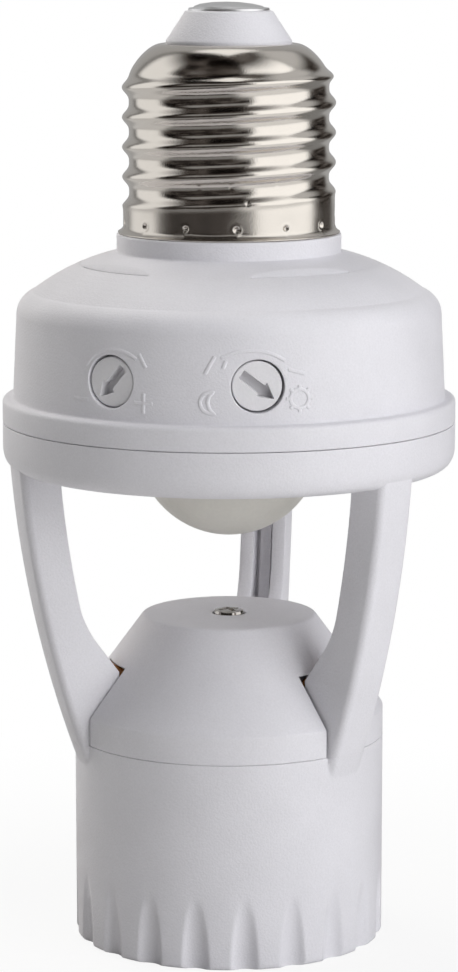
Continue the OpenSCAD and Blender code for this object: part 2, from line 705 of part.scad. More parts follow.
// sprung strip: flat under the rivet, sloping down, curled up at its free end
module centre_spring() {
    top = deck_z;
    color("goldenrod") difference() {
        translate([0, 3, 0]) rotate([90, 0, 0]) linear_extrude(height = 6)
            polygon([[rivet_x + 2.6, top], [rivet_x - 2.4, top], [-0.6, top - 3], [-2.6, top - 2.4],
                     [-2.6, top - 2.4 - spring_t], [-0.6, top - 3 - spring_t - 0.05],
                     [rivet_x - 2.3, top - spring_t], [rivet_x + 2.6, top - spring_t]]);
        translate([rivet_x, 0, top - 2]) cylinder(r = 1.25, h = 4);
    }
}

module spring_rivet() {
    color("silver") translate([rivet_x, 0, 0]) rotate_extrude() polygon([
        [0, deck_z - 1], [1.9, deck_z - 1], [2.1, deck_z - 0.4], [1.2, deck_z - 0.4],
        [1.2, deck_top], [2, deck_top], [1.8, deck_top + 0.5], [0, deck_top + 0.5]]);
}

centre_contact();
screw_shell();
upper_housing();
time_knob();
lux_knob();
lower_housing();
sensor_lens();
holder_cap();
cap_screw();
neutral_lead();
load_lead();
main_board();
time_trimmer();
lux_trimmer();
time_rotor();
lux_rotor();
pir_sensor();
light_sensor();
relay();
film_capacitor();
smoothing_capacitor();
timing_capacitor();
controller_chip();
fuse_resistor();
rectifier();
cap_lead();
shell_lead();
threaded_sleeve();
centre_spring();
spring_rivet();
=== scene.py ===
"""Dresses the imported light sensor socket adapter: moulded housings, rolled shell, dials and lens.

Frame: metres, +Z up the common axis, origin in the open rim of the lamp holder, the dials face -Y.
Shapes are worked out in millimetres and put into the meshes in metres.
"""
import math
from types import SimpleNamespace

import bmesh
import bpy
import numpy as np
from bpy.props import FloatProperty, FloatVectorProperty, IntProperty, PointerProperty
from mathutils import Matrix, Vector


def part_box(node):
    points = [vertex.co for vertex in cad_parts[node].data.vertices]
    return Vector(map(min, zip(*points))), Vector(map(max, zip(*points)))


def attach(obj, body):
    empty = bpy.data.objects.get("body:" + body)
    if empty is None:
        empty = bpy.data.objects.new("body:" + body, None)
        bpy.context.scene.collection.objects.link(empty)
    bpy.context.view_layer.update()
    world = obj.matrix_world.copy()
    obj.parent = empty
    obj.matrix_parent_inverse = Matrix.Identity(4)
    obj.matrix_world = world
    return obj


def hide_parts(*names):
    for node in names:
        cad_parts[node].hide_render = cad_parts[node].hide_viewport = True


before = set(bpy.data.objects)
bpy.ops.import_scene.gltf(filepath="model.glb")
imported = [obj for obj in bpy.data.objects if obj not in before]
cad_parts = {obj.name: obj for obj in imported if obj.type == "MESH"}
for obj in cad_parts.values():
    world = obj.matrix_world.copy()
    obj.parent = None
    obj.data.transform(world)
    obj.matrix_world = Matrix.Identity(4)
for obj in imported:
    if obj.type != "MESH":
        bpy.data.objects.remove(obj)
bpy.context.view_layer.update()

bl_info = {
    "name": "Light sensor socket adapter",
    "version": (1, 0, 0),
    "blender": (4, 5, 0),
    "location": "3D View > Sidebar > Adapter",
    "description": "Builds the visible pieces of a socket adapter with a light sensor",
    "category": "Object",
}

MM = 0.001
ARM_AZIMUTHS = (-60.0, 60.0, 180.0)
# How far a moulding stays back from its joint with the next one, in mm
SEAM_GAP = 0.035
# How far the screw's seat lies under the top of the cap, in mm
SCREW_SINK = 1.75
# Height over which the knee of an arm is rounded, in mm
KNEE_ROUNDING = 2.2
# How far each knob's hole lies off the knob, to the right and up in mm, with the left knob first
HOLE_PLAY = {-1: (-0.05, 0.06), 1: (0.07, -0.02)}
# Stakes round the foot of the shell, and the azimuth of one of them in degrees
SHELL_STAKES = 13
STAKE_AZIMUTH = 16.4
# Small pits in the plating, each as (azimuth in degrees, height in mm)
SHELL_PITS = ((-4.5, 94.6), (13.4, 94.7), (22.1, 92.8), (40.2, 95.2))
# Azimuth of the solder tab on the threaded sleeve, in degrees
TAB_AZIMUTH = -110


def top_of(node):
    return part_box(node)[1][2]


def radius_of(node):
    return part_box(node)[1][0]


def linear(code):
    """An sRGB hex colour as the linear colour that shaders and properties hold."""
    parts = np.array([int(code[i:i + 2], 16) for i in (1, 3, 5)]) / 255
    return tuple(np.where(parts <= 0.04045, parts / 12.92, ((parts + 0.055) / 1.055) ** 2.4).tolist())


def length(name, description, default):
    """A length setting, whose default is in metres."""
    return FloatProperty(name=name, description=description, default=default, min=0, unit="LENGTH",
                         precision=5)


def angle(name, description, degrees):
    return FloatProperty(name=name, description=description, default=math.radians(degrees), subtype="ANGLE")


def tint(name, description, code):
    return FloatVectorProperty(name=name, description=description, default=linear(code), subtype="COLOR",
                               min=0, max=1)


def amount(name, description, default):
    """A number without a unit, such as the strength of a light."""
    return FloatProperty(name=name, description=description, default=default, min=0)


# Sizes and colours

class HolderSizes(bpy.types.PropertyGroup):
    """Lamp holder with its grip flutes."""
    radius: length("Radius", "Outer radius of the lamp holder", radius_of("holder_cap"))
    height: length("Height", "Height of the joint with the cone cap", 0.0256)
    skirt: length("Skirt", "Thickness of the outer skirt", 0.0017)
    mouth_radius: length("Mouth radius", "Radius of the plain mouth", 0.0137)
    mouth_height: length("Mouth height", "Length of the plain mouth", 0.0022)
    tube_bore: length("Tube bore", "Bore of the inner tube", 0.0144)
    tube_wall: length("Tube wall", "Wall of the inner tube", 0.0018)
    deck_height: length("Deck height", "Height of the underside of the deck", 0.027)
    deck_wall: length("Deck thickness", "Thickness of the deck", 0.002)
    flutes: IntProperty(name="Flutes", description="Number of grip flutes round the rim", default=20, min=3,
                        max=40)
    flute_width: length("Flute width", "Width of a flute at the rim", 0.0034)
    flute_height: length("Flute height", "Height at which a flute runs out", 0.0088)
    flute_depth: length("Flute depth", "Depth of a flute at the rim", 0.00095)
    flute_edge: length("Flute edge", "Softness of the edge between flute and skirt", 0.0001)


class CapSizes(bpy.types.PropertyGroup):
    """Cone that closes the lamp holder, and its screw."""
    lip: length("Lip", "Height of the plain lip", 0.00345)
    cone: length("Cone", "Height of the cone above the lip", 0.0116)
    top_radius: length("Top radius", "Radius of the flat top", 0.0105)
    wall: length("Wall", "Wall of the cap", 0.002)
    notch_radius: length("Notch radius", "Radius of the inner end of a notch", 0.0135)
    notch_top: length("Notch top", "Height of the upper edge of a notch", 0.0351)
    notch_gap: length("Notch gap", "Gap between an arm and its notch", 0.0003)
    screw_head: length("Screw head", "Radius of the screw head", 0.00192)


class ArmSizes(bpy.types.PropertyGroup):
    """Three channelled arms between the head and the holder."""
    width: length("Width", "Width across the flanges", 0.006)
    channel: length("Channel", "Width of the channel in the inner side", 0.0024)
    web: length("Web", "Thickness of the web in the corners of the channel", 0.0021)
    floor: length("Floor", "Thickness of the web in the middle of the channel", 0.0029)
    groove: length("Groove", "Width of the groove along each side of the channel's floor", 0.0005)
    depth: length("Depth", "Radial depth under the head", 0.0051)
    bow: length("Bow", "Outward bow of the outer face", 0.0013)
    foot: length("Foot", "Height at which an arm runs out into the holder", 0.0229)
    knee: length("Knee", "Height of the knee where an arm turns in to the cone", 0.0406)
    root_radius: length("Root radius", "Radius at which the inner edge meets the cone", 0.0151)
    edge: length("Edge", "Rounding of the outer edges", 0.0009)


class HeadSizes(bpy.types.PropertyGroup):
    """Ring, cover and neck of the sensor head."""
    ring_radius: length("Ring radius", "Outer radius of the ring", radius_of("lower_housing"))
    ring_height: length("Ring height", "Height of the underside of the ring", 0.0593)
    ring_round: length("Ring rounding", "Rounding of the lower edge of the ring", 0.003)
    seam: length("Seam", "Height of the joint between ring and cover", 0.0651)
    step: length("Step", "Height of the stepped lip of the cover", 0.003)
    side_radius: length("Side radius", "Radius of the side above the lip", 0.0267)
    side_draft: length("Side draft", "Draft of the side over its height", 0.0005)
    shoulder: length("Shoulder", "Height at which the side turns in to the shoulder", 0.0783)
    collar: length("Collar", "Height of the foot of the collar", 0.086)
    collar_radius: length("Collar radius", "Radius of the collar", 0.01382)
    wall: length("Wall", "Wall of the housings", 0.002)
    recess_radius: length("Recess radius", "Outer radius of the crescent recesses", 0.0184)
    recess_width: length("Recess width", "Radial width of the crescent recesses", 0.0018)
    recess_depth: length("Recess depth", "Fall of a recess across its width", 0.002)
    recess_angle: angle("Recess angle", "Angle that one recess spans", 43)
    recess_azimuth: angle("Recess azimuth", "Azimuth of the middle of the first recess", 41.3)
    recess_turn: angle("Recess turn", "Turn of the four recesses about the axis", 0.8)
    tip_height: length("Tip height", "Height of the white tip", top_of("upper_housing"))
    lens_radius: length("Lens radius", "Radius of the milky dome", 0.0115)
    lens_height: length("Lens height", "Height of the centre of the dome", 0.0622)
    lens_wall: length("Lens wall", "Wall of the dome", 0.0007)


class DialSizes(bpy.types.PropertyGroup):
    """Two setting knobs and the raised signs round them."""
    azimuth: angle("Azimuth", "Angle of each knob from the front", 19.5)
    height: length("Height", "Height of the axes of the knobs", 0.0727)
    radius: length("Radius", "Radius of the face of a knob", 0.00295)
    gap: length("Gap", "Gap between a knob and its hole", 0.00021)
    face: length("Face", "Distance of the face of a knob from the axis", 0.0261)
    left_turn: angle("Left turn", "Turn of the left pointer, clockwise from up", 222)
    right_turn: angle("Right turn", "Turn of the right pointer, clockwise from up", 128)
    relief: length("Relief", "Height of the raised signs", 0.0001)
    stroke: length("Stroke", "Width of the strokes of the raised signs", 0.00046)


class ShellSizes(bpy.types.PropertyGroup):
    """Rolled E27 shell and its centre contact."""
    pitch: length("Pitch", "Pitch of the thread", 0.003629)
    crest: length("Crest", "Radius of the crests", 0.0131)
    root: length("Root", "Radius of the roots", 0.01225)
    skirt: length("Skirt", "Outer radius of the plain skirt", 0.013)
    sheet: length("Sheet", "Thickness of the sheet", 0.0004)
    foot: length("Foot", "Height at which the shell stands on the collar", 0.08825)
    top: length("Top", "Height of the flat top", 0.1113)
    opening: length("Opening", "Radius of the opening in the top", 0.00775)
    front_crest: length("Front crest", "Height of a crest straight in front", 0.09954)
    contact: length("Contact", "Radius of the centre contact", 0.00495)


class Finishes(bpy.types.PropertyGroup):
    """Colours of the surfaces that show."""
    housing: tint("Housing", "Colour of the white housings", "#E3E2E7")
    knob: tint("Knob", "Colour of the setting knobs", "#E4E3E6")
    lens: tint("Lens", "Colour of the milky dome", "#E2E0D9")
    nickel: tint("Nickel", "Colour of the plated shell", "#D9D3CB")
    solder: tint("Solder", "Colour of the solder on the contact", "#F2F2F3")
    zinc: tint("Zinc", "Colour of the plated screw", "#B9B5B0")
    lead: tint("Lead", "Colour of the leads in the arms", "#8F5A1F")


class StageSettings(bpy.types.PropertyGroup):
    """Floor, light and camera."""
    floor: tint("Floor", "Colour of the floor", "#FFFFFF")
    key: amount("Key light", "Power of the two large lights at the right", 7.8)
    back: amount("Back light", "Power of the two lights behind at the left", 7.6)
    top: amount("Top light", "Power of the light straight above", 2.5)
    front: amount("Front light", "Power of the light high in front", 0.6)
    fill: amount("Fill", "Strength of the light from all round", 0.02)
    lens: amount("Lens", "Focal length of the camera in millimetres", 129.9)
    distance: length("Distance", "Distance of the camera from the axis of the part", 0.43056)
    height: length("Height", "Height of the camera", 0.12755)
    azimuth: angle("Azimuth", "Angle of the camera from the front", 12.3)
    pitch: angle("Pitch", "Angle at which the camera looks down", 9.35)


GROUPS = {
    "adapter_holder": HolderSizes, "adapter_cap": CapSizes, "adapter_arms": ArmSizes,
    "adapter_head": HeadSizes, "adapter_dials": DialSizes, "adapter_shell": ShellSizes,
    "adapter_finishes": Finishes, "adapter_stage": StageSettings,
}


def sizes(context, *names):
    """The named groups' values, with lengths in millimetres and angles in degrees."""
    found = []
    for name in names:
        group = getattr(context.scene, "adapter_" + name)
        values = {}
        for key, prop in group.bl_rna.properties.items():
            if key in ("rna_type", "name"):
                continue
            value = getattr(group, key)
            if getattr(prop, "unit", "") == "LENGTH":
                value /= MM
            elif getattr(prop, "subtype", "") == "ANGLE":
                value = math.degrees(value)
            values[key] = value
        found.append(SimpleNamespace(**values))
    return found if len(found) > 1 else found[0]


# Surfaces, as whole arrays

def bowed_circle(start, end, bow):
    """Centre and radius of the circle through start and end that leaves their chord by bow, to the right of
    the way. With half the chord h, the radius is (h^2 + bow^2) / (2 bow)."""
    chord = end - start
    span = np.hypot(*chord)
    radius = (span ** 2 / 4 + bow ** 2) / (2 * bow)
    return (start + end) / 2 + np.array([chord[1], -chord[0]]) / span * (bow - radius), radius


def arc(start, end, bow, count):
    """Points from start to end on the circle that leaves their chord by bow."""
    start, end = np.array(start, float), np.array(end, float)
    centre, radius = bowed_circle(start, end, bow)
    turn = 2 * np.arcsin(np.hypot(*(end - start)) / 2 / radius) * np.linspace(0, 1, count)
    x, y = start - centre
    return centre + np.stack([x * np.cos(turn) - y * np.sin(turn), x * np.sin(turn) + y * np.cos(turn)], 1)


def soften(corners, closed=True, steps=6):
    """An outline with rounded corners. Corners are (x, y, radius), and each is replaced by a parabola that
    touches both its sides where a circle of that radius would."""
    corners = np.array([tuple(c) + (0.0,) * (3 - len(c)) for c in corners], float)
    points, radii = corners[:, :2], corners[:, 2]
    count, out = len(points), []
    for i, (here, radius) in enumerate(zip(points, radii)):
        if radius <= 0 or (not closed and i in (0, count - 1)):
            out.append(here[None])
            continue
        a, b = points[i - 1] - here, points[(i + 1) % count] - here
        la, lb = np.hypot(*a), np.hypot(*b)
        half = math.acos(np.clip(a @ b / la / lb, -1, 1)) / 2
        reach = min(radius / math.tan(half), 0.49 * la, 0.49 * lb)
        t = np.linspace(0, 1, steps)[:, None]
        start, end = here + a / la * reach, here + b / lb * reach
        out.append((1 - t) ** 2 * start + 2 * t * (1 - t) * here + t ** 2 * end)
    return np.concatenate(out)


def refine(line, step):
    """The same line with no stretch between points longer than step."""
    line = np.asarray(line, float)
    parts = [line[:1]]
    for a, b in zip(line[:-1], line[1:]):
        count = max(1, int(math.ceil(np.hypot(*(b - a)[:2]) / step)))
        parts.append(a + (b - a) * np.linspace(0, 1, count + 1)[1:, None])
    return np.concatenate(parts)


def grid_faces(rows, cols, wrap_rows):
    """Quads of a grid of rows by cols points whose columns close round, as index quadruples."""
    i, j = np.meshgrid(np.arange(rows - (not wrap_rows)), np.arange(cols), indexing="ij")
    down, right = (i + 1) % rows, (j + 1) % cols
    return np.stack([i * cols + j, i * cols + right, down * cols + right, down * cols + j], -1).reshape(-1, 4)


def revolve(line, cols):
    """Radius, azimuth and height of a line of (radius, height) carried round the Z axis in cols steps."""
    a = np.linspace(0, 2 * np.pi, cols, endpoint=False)
    r, z = np.broadcast_to(line[:, :1], (len(line), cols)), np.broadcast_to(line[:, 1:2], (len(line), cols))
    return r.copy(), np.broadcast_to(a, r.shape), z.copy()


def around(r, a, z):
    """Points (r sin a, -r cos a, z): radius r, azimuth a from the front towards +X, height z."""
    return np.stack([r * np.sin(a), -r * np.cos(a), z], -1)


def turned(points, azimuth):
    """Points drawn with +X outwards, turned about Z so that +X points to the azimuth from the front."""
    a = math.radians(azimuth - 90)
    x, y, z = points[..., 0], points[..., 1], points[..., 2]
    return np.stack([x * math.cos(a) - y * math.sin(a), x * math.sin(a) + y * math.cos(a), z], -1)


def sweep(path, outline, side):
    """An outline (x, y) carried along a path. At each point the outline's x lies along the path's tangent
    crossed with side, and its y along the tangent crossed with that."""
    tangent = np.gradient(path, axis=0)
    tangent /= np.linalg.norm(tangent, axis=1, keepdims=True)
    across = np.cross(tangent, side)
    across /= np.linalg.norm(across, axis=1, keepdims=True)
    up = np.cross(across, tangent)
    return path[:, None] + outline[None, :, :1] * across[:, None] + outline[None, :, 1:2] * up[:, None]


def smooth_path(points, count):
    """A curve through the points, by the Catmull-Rom formula, at count places."""
    p = np.asarray(points, float)
    p = np.concatenate([2 * p[:1] - p[1:2], p, 2 * p[-1:] - p[-2:-1]])
    t = np.linspace(0, len(points) - 1 - 1e-9, count)
    k = t.astype(int)
    f = (t - k)[:, None]
    a, b, c, d = p[k], p[k + 1], p[k + 2], p[k + 3]
    square, cube = 2 * a - 5 * b + 4 * c - d, 3 * b - a - 3 * c + d
    return 0.5 * (2 * b + (c - a) * f + square * f ** 2 + cube * f ** 3)


def soft_max(a, b, width):
    """The larger of a and b, with the corner between them rounded over about width."""
    return (a + b + np.sqrt((a - b) ** 2 + width ** 2)) / 2


def soft_min(a, b, width):
    return -soft_max(-a, -b, width)


def ramp(value, low, high):
    """0 below low, 1 above high, and a smooth S between: t squared times 3 - 2 t."""
    t = np.clip((value - low) / (high - low), 0, 1)
    return t * t * (3 - 2 * t)


def circle(radius, count):
    """Points (r cos t, r sin t) for count even steps of t round a full turn."""
    t = np.linspace(0, 2 * np.pi, count, endpoint=False)
    return np.stack([radius * np.cos(t), radius * np.sin(t)], 1)


def box_points(low, high, azimuth):
    """A box between two corners, drawn with +X outwards and turned to its azimuth, as two rings of points."""
    (x0, y0, z0), (x1, y1, z1) = low, high
    ring = np.array([(x0, y0), (x1, y0), (x1, y1), (x0, y1)])
    return turned(np.stack([np.concatenate([ring, np.full((4, 1), z)], 1) for z in (z0, z1)]), azimuth)


# Meshes

def closed_shell(points, wrap_rows=False):
    """Points and faces of a grid whose columns close round. Open ends get one face each."""
    rows, cols = points.shape[:2]
    flat, faces = points.reshape(-1, 3), [grid_faces(rows, cols, wrap_rows).tolist()]
    if not wrap_rows:
        faces += [[list(range(cols))], [list(range((rows - 1) * cols, rows * cols))]]
    return flat, [face for part in faces for face in part]


def mesh_object(name, parts):
    """One object of several (points in mm, faces) shells, doubles merged and faces turned outwards."""
    points, faces, base = [], [], 0
    for part_points, part_faces in parts:
        points.append(part_points)
        faces += [[i + base for i in face] for face in part_faces] if base else part_faces
        base += len(part_points)
    mesh = bpy.data.meshes.new(name)
    mesh.from_pydata((np.concatenate(points) * MM).tolist(), [], faces)
    work = bmesh.new()
    work.from_mesh(mesh)
    bmesh.ops.remove_doubles(work, verts=work.verts, dist=1e-7)
    bmesh.ops.dissolve_degenerate(work, edges=work.edges, dist=1e-8)
    bmesh.ops.recalc_face_normals(work, faces=work.faces)
    work.to_mesh(mesh)
    work.free()
    obj = bpy.data.objects.new(name, mesh)
    bpy.context.scene.collection.objects.link(obj)
    return obj


def solid(name, points, wrap_rows=False):
    """One object of one grid of points."""
    return mesh_object(name, [closed_shell(points, wrap_rows)])


def combine(obj, others, operation):
    """Boolean of obj with each of the others in turn, applied. The others are removed."""
    for other in others:
        modifier = obj.modifiers.new("combine", "BOOLEAN")
        modifier.object, modifier.operation, modifier.solver = other, operation, "MANIFOLD"
    graph = bpy.context.evaluated_depsgraph_get()
    mesh = bpy.data.meshes.new_from_object(obj.evaluated_get(graph))
    if not mesh.polygons:
        raise RuntimeError("the boolean on " + obj.name + " left nothing")
    obj.modifiers.clear()
    old, obj.data = obj.data, mesh
    bpy.data.meshes.remove(old)
    for other in others:
        bpy.data.objects.remove(other)
    return obj


def finish_piece(context, obj, body, nodes, finish, crease):
    """Shades a piece smooth up to its creases, gives it its finish, and ties it to the CAD."""
    mesh = obj.data
    mesh.shade_smooth()
    mesh.set_sharp_from_angle(angle=math.radians(crease))
    mesh.materials.clear()
    mesh.materials.append(finish_material(context, finish))
    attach(obj, body)
    if nodes:
        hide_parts(*nodes)


# Materials

def add_node(tree, kind, inputs=None, **settings):
    """Adds a shader node of a kind, sets its properties, and sets or links its inputs."""
    node = tree.nodes.new("ShaderNode" + kind)
    for key, value in settings.items():
        setattr(node, key, value)
    for key, value in (inputs or {}).items():
        if isinstance(value, bpy.types.NodeSocket):
            tree.links.new(value, node.inputs[key])
        else:
            node.inputs[key].default_value = value
    return node


def rgba(colour, factor=1.0):
    return tuple(min(1.0, c * factor) for c in tuple(colour)[:3]) + (1.0,)


def surface(name, colour, speck, mottle, roughness, grain, bump, shader):
    """A material whose colour drifts by speck, over mottle mm and from grain to grain. The grain, in mm
    too, is also in its gloss and stands bump mm high."""
    material = bpy.data.materials.new(name)
    material.use_nodes = True
    tree = material.node_tree
    tree.nodes.clear()
    place = add_node(tree, "TexCoord").outputs["Object"]
    wide = add_node(tree, "TexNoise", {"Vector": place, "Scale": 1 / (mottle * MM), "Detail": 3.0})
    fine = add_node(tree, "TexNoise", {"Vector": place, "Scale": 1 / (grain * MM), "Detail": 2.0})
    drift = add_node(tree, "Mix", {0: 0.5, 2: wide.outputs["Fac"], 3: fine.outputs["Fac"]})
    blend = add_node(tree, "Mix", {
        0: drift.outputs[0], 6: rgba(colour, 1 - speck), 7: rgba(colour, 1 + speck)}, data_type="RGBA")
    gloss = add_node(tree, "MapRange", {
        "Value": fine.outputs["Fac"], "To Min": roughness * 0.88, "To Max": roughness * 1.12})
    relief = add_node(tree, "Bump", {
        "Height": fine.outputs["Fac"], "Strength": 1.0, "Distance": bump * MM})
    principled = add_node(tree, "BsdfPrincipled", {
        "Base Color": blend.outputs[2], "Roughness": gloss.outputs["Result"],
        "Normal": relief.outputs["Normal"], **shader})
    add_node(tree, "OutputMaterial", {"Surface": principled.outputs["BSDF"]})
    return material


METAL = {"Metallic": 1.0}
# Each finish has its colour, as hex or as the name of the setting that holds it, how far the colour drifts
# and over how many mm, its roughness, its grain's width and height in mm, and the shader's own settings.
FINISHES = {
    # White polycarbonate, injection moulded in an eroded tool: satin, with a fine even grain. The real
    # grain is about 0.1 mm wide; it is drawn 0.24 mm wide so that it shows.
    "moulded_polycarbonate": ("housing", 0.13, 9, 0.46, 0.24, 0.04, {"IOR": 1.58}),
    # White ABS of the knobs, moulded smoother than the housing
    "moulded_knob_plastic": ("knob", 0.08, 4, 0.4, 0.3, 0.026, {"IOR": 1.54}),
    # Milky polyethylene, which lets heat rays through: dull, soft and a little see-through
    "milky_polyethylene": ("lens", 0.08, 3, 0.42, 0.5, 0.012, {
        "IOR": 1.54, "Subsurface Weight": 0.35, "Subsurface Radius": (0.8, 0.8, 0.75),
        "Subsurface Scale": 0.001}),
    # Nickel plating on rolled brass: a warm bright metal, burnished where the thread was rolled
    "plated_nickel": ("nickel", 0.06, 5, 0.14, 0.2, 0.008, METAL),
    # Tin solder, dull and dimpled where it set on the contact
    "solder_tin": ("solder", 0.08, 1.5, 0.42, 0.9, 0.03, METAL),
    # Bright zinc plating on the screw, scuffed by the driver
    "plated_zinc": ("zinc", 0.1, 0.8, 0.12, 0.35, 0.01, METAL),
    # Brown insulation of the leads, extruded and slightly shiny
    "lead_insulation": ("lead", 0.06, 3, 0.38, 0.4, 0.004, {"IOR": 1.52}),
    # Brass sheet, rolled to a thread, with the soft shine of a tarnished inside
    "rolled_brass": ("#C9A24E", 0.06, 4, 0.28, 0.6, 0.003, METAL),
    # Bronze strip, rolled hard: warm and half bright
    "sprung_bronze": ("#C49A5E", 0.05, 2.0, 0.3, 0.5, 0.003, METAL),
    # Tinned brass rivet, turned over in a die: grey and half bright
    "tinned_rivet": ("#BFBFBC", 0.05, 1.0, 0.35, 0.4, 0.004, METAL),
    # Paper and phenolic resin, pressed to a board: tan, mottled and dull
    "paper_laminate": ("#B08A4A", 0.08, 2.5, 0.55, 0.4, 0.01, {"IOR": 1.5}),
    # Blue moulded case of a trimmer, satin
    "trimmer_case": ("#2C5CA8", 0.03, 2.0, 0.35, 0.3, 0.004, {"IOR": 1.54}),
    # Cream moulded rotor of a trimmer, a little waxy
    "trimmer_rotor": ("#E6E0D0", 0.03, 1.5, 0.4, 0.3, 0.004, {"IOR": 1.54}),
    # Nickelled steel can, deep drawn: cool and smooth
    "drawn_can": ("#B8B8BA", 0.04, 2.0, 0.28, 0.4, 0.003, METAL),
    # Clear epoxy, cast round a chip: pale and glossy
    "cast_epoxy": ("#D8DDE0", 0.02, 1.0, 0.15, 0.4, 0.002, {"IOR": 1.55}),
    # Black polyester case of the relay, moulded satin
    "relay_case": ("#1E1F22", 0.05, 4.0, 0.35, 0.3, 0.006, {"IOR": 1.55}),
    # Yellow case of the film capacitor, moulded glossy
    "film_case": ("#D9A92C", 0.04, 3.0, 0.3, 0.3, 0.004, {"IOR": 1.5}),
    # Dark blue vinyl sleeve, shrunk over a can: smooth and shiny
    "shrunk_sleeve": ("#1B1D33", 0.04, 3.0, 0.28, 0.4, 0.004, {"IOR": 1.52}),
    # Black epoxy round the controller chip, moulded dull
    "chip_moulding": ("#1A1A1C", 0.05, 2.0, 0.6, 0.15, 0.006, {"IOR": 1.55}),
    # Green cement on the resistor, dipped: dull and uneven
    "cement_coat": ("#3E6B4A", 0.08, 1.0, 0.6, 0.2, 0.01, {"IOR": 1.5}),
    # Black epoxy round the rectifier, moulded a little smoother
    "bridge_moulding": ("#1A1A1C", 0.05, 2.0, 0.55, 0.15, 0.006, {"IOR": 1.55}),
    # Black insulation of the leads in the neck, extruded and slightly shiny
    "black_insulation": ("#26262A", 0.04, 3.0, 0.38, 0.4, 0.004, {"IOR": 1.52}),
}
# The CAD nodes that keep their own meshes, and their finishes
NODE_FINISHES = {
    "centre_spring": "sprung_bronze", "spring_rivet": "tinned_rivet", "main_board": "paper_laminate",
    "time_trimmer": "trimmer_case", "lux_trimmer": "trimmer_case", "time_rotor": "trimmer_rotor",
    "lux_rotor": "trimmer_rotor", "pir_sensor": "drawn_can", "light_sensor": "cast_epoxy",
    "relay": "relay_case", "film_capacitor": "film_case", "smoothing_capacitor": "shrunk_sleeve",
    "timing_capacitor": "shrunk_sleeve", "controller_chip": "chip_moulding", "fuse_resistor": "cement_coat",
    "rectifier": "bridge_moulding", "cap_lead": "black_insulation", "shell_lead": "black_insulation",
}


def finish_material(context, name):
    """The material of a finish, made when it is first asked for."""
    colour, *settings = FINISHES[name]
    colour = linear(colour) if colour.startswith("#") else getattr(context.scene.adapter_finishes, colour)
    return bpy.data.materials.get(name) or surface(name, colour, *settings)


def dull_skirt(material, shell):
    """Makes the plating duller and sandy on the plain skirt: its roughness grows by 0.1 from 1 mm above the
    end of the rolled thread to 1 mm below it."""
    tree = material.node_tree
    nodes = {node.type: node for node in tree.nodes}
    rough = nodes["BSDF_PRINCIPLED"].inputs["Roughness"]
    height = add_node(tree, "SeparateXYZ", {0: nodes["TEX_COORD"].outputs["Object"]}).outputs["Z"]
    edge = (shell.front_crest - 2 * shell.pitch) * MM
    dull = add_node(tree, "MapRange", {
        "Value": height, "From Min": edge + MM, "From Max": edge - MM, "To Min": 0.0, "To Max": 0.1})
    total = add_node(tree, "Math", {
        0: rough.links[0].from_socket, 1: dull.outputs["Result"]}, operation="ADD")
    tree.links.new(total.outputs[0], rough)


# Head

def cover_line(head, inset):
    """The cover from its stepped lip up to the collar, set in by inset: drafted side, tight turn and dome."""
    top_radius = head.side_radius - head.side_draft
    turn = [top_radius - inset - 2, head.shoulder + 2.9 - inset * 0.6]
    foot = [head.collar_radius - inset * 0.6, head.collar - inset]
    return np.concatenate([
        arc([top_radius - inset, head.shoulder], turn, 0.55, 10),
        arc([turn[0] - 0.2, turn[1] + 0.15], foot, 0.6, 12)])


def cover_outline(head, shell):
    """The cover's whole section: outside from the seam over lip, side, dome, collar, neck and tip, then back
    inside to a ledge just above the ring's spigot."""
    inner_radius = head.side_radius - 1.05
    seam, lip, ledge = head.seam + SEAM_GAP, head.seam + head.step, head.seam + 2.8
    play = 0.15
    neck, skirt = shell.root - shell.sheet - play, shell.skirt - shell.sheet - play
    tip, top, opening = head.tip_height, shell.top, shell.opening - 0.05
    rivet_bore, rivet_well, lead_bore = 1.6, 3.2, 9.4
    outside = soften([
        (inner_radius, seam), (head.ring_radius, seam, 0.16), (head.ring_radius, lip, 0.8),
        (head.side_radius, lip, 0.3), (head.side_radius - head.side_draft, head.shoulder, 0)], False)
    outside = np.concatenate([outside[:-2], refine(outside[-2:], 0.45)])
    collar = soften([
        (head.collar_radius + 0.5, head.collar - 0.1), (head.collar_radius, head.collar, 0.25),
        (head.collar_radius, shell.foot, 0.25), (skirt, shell.foot), (skirt, shell.foot + 3.5),
        (neck, shell.foot + 4.3), (neck, top - 4, 1.5), (neck - 1.75, top - 1.3, 1.0),
        (shell.opening + 0.5, top - 0.55), (opening, top - 0.55), (opening, top + 0.4, 0.6),
        (shell.contact + 0.42, tip - 0.12, 0.2), (shell.contact, tip), (rivet_bore, tip),
        (rivet_bore, tip - 3.8), (rivet_well, tip - 3.8), (rivet_well, tip - 4.6), (lead_bore, top - 4.7),
        (lead_bore, head.collar - 0.5)], False)
    dome, inside = refine(cover_line(head, 0), 0.18), cover_line(head, head.wall)[::-1]
    foot = np.array([(head.side_radius - head.wall, ledge), (inner_radius, ledge)])
    return np.concatenate([outside[:-1], dome[:-1], collar[1:], inside, foot])


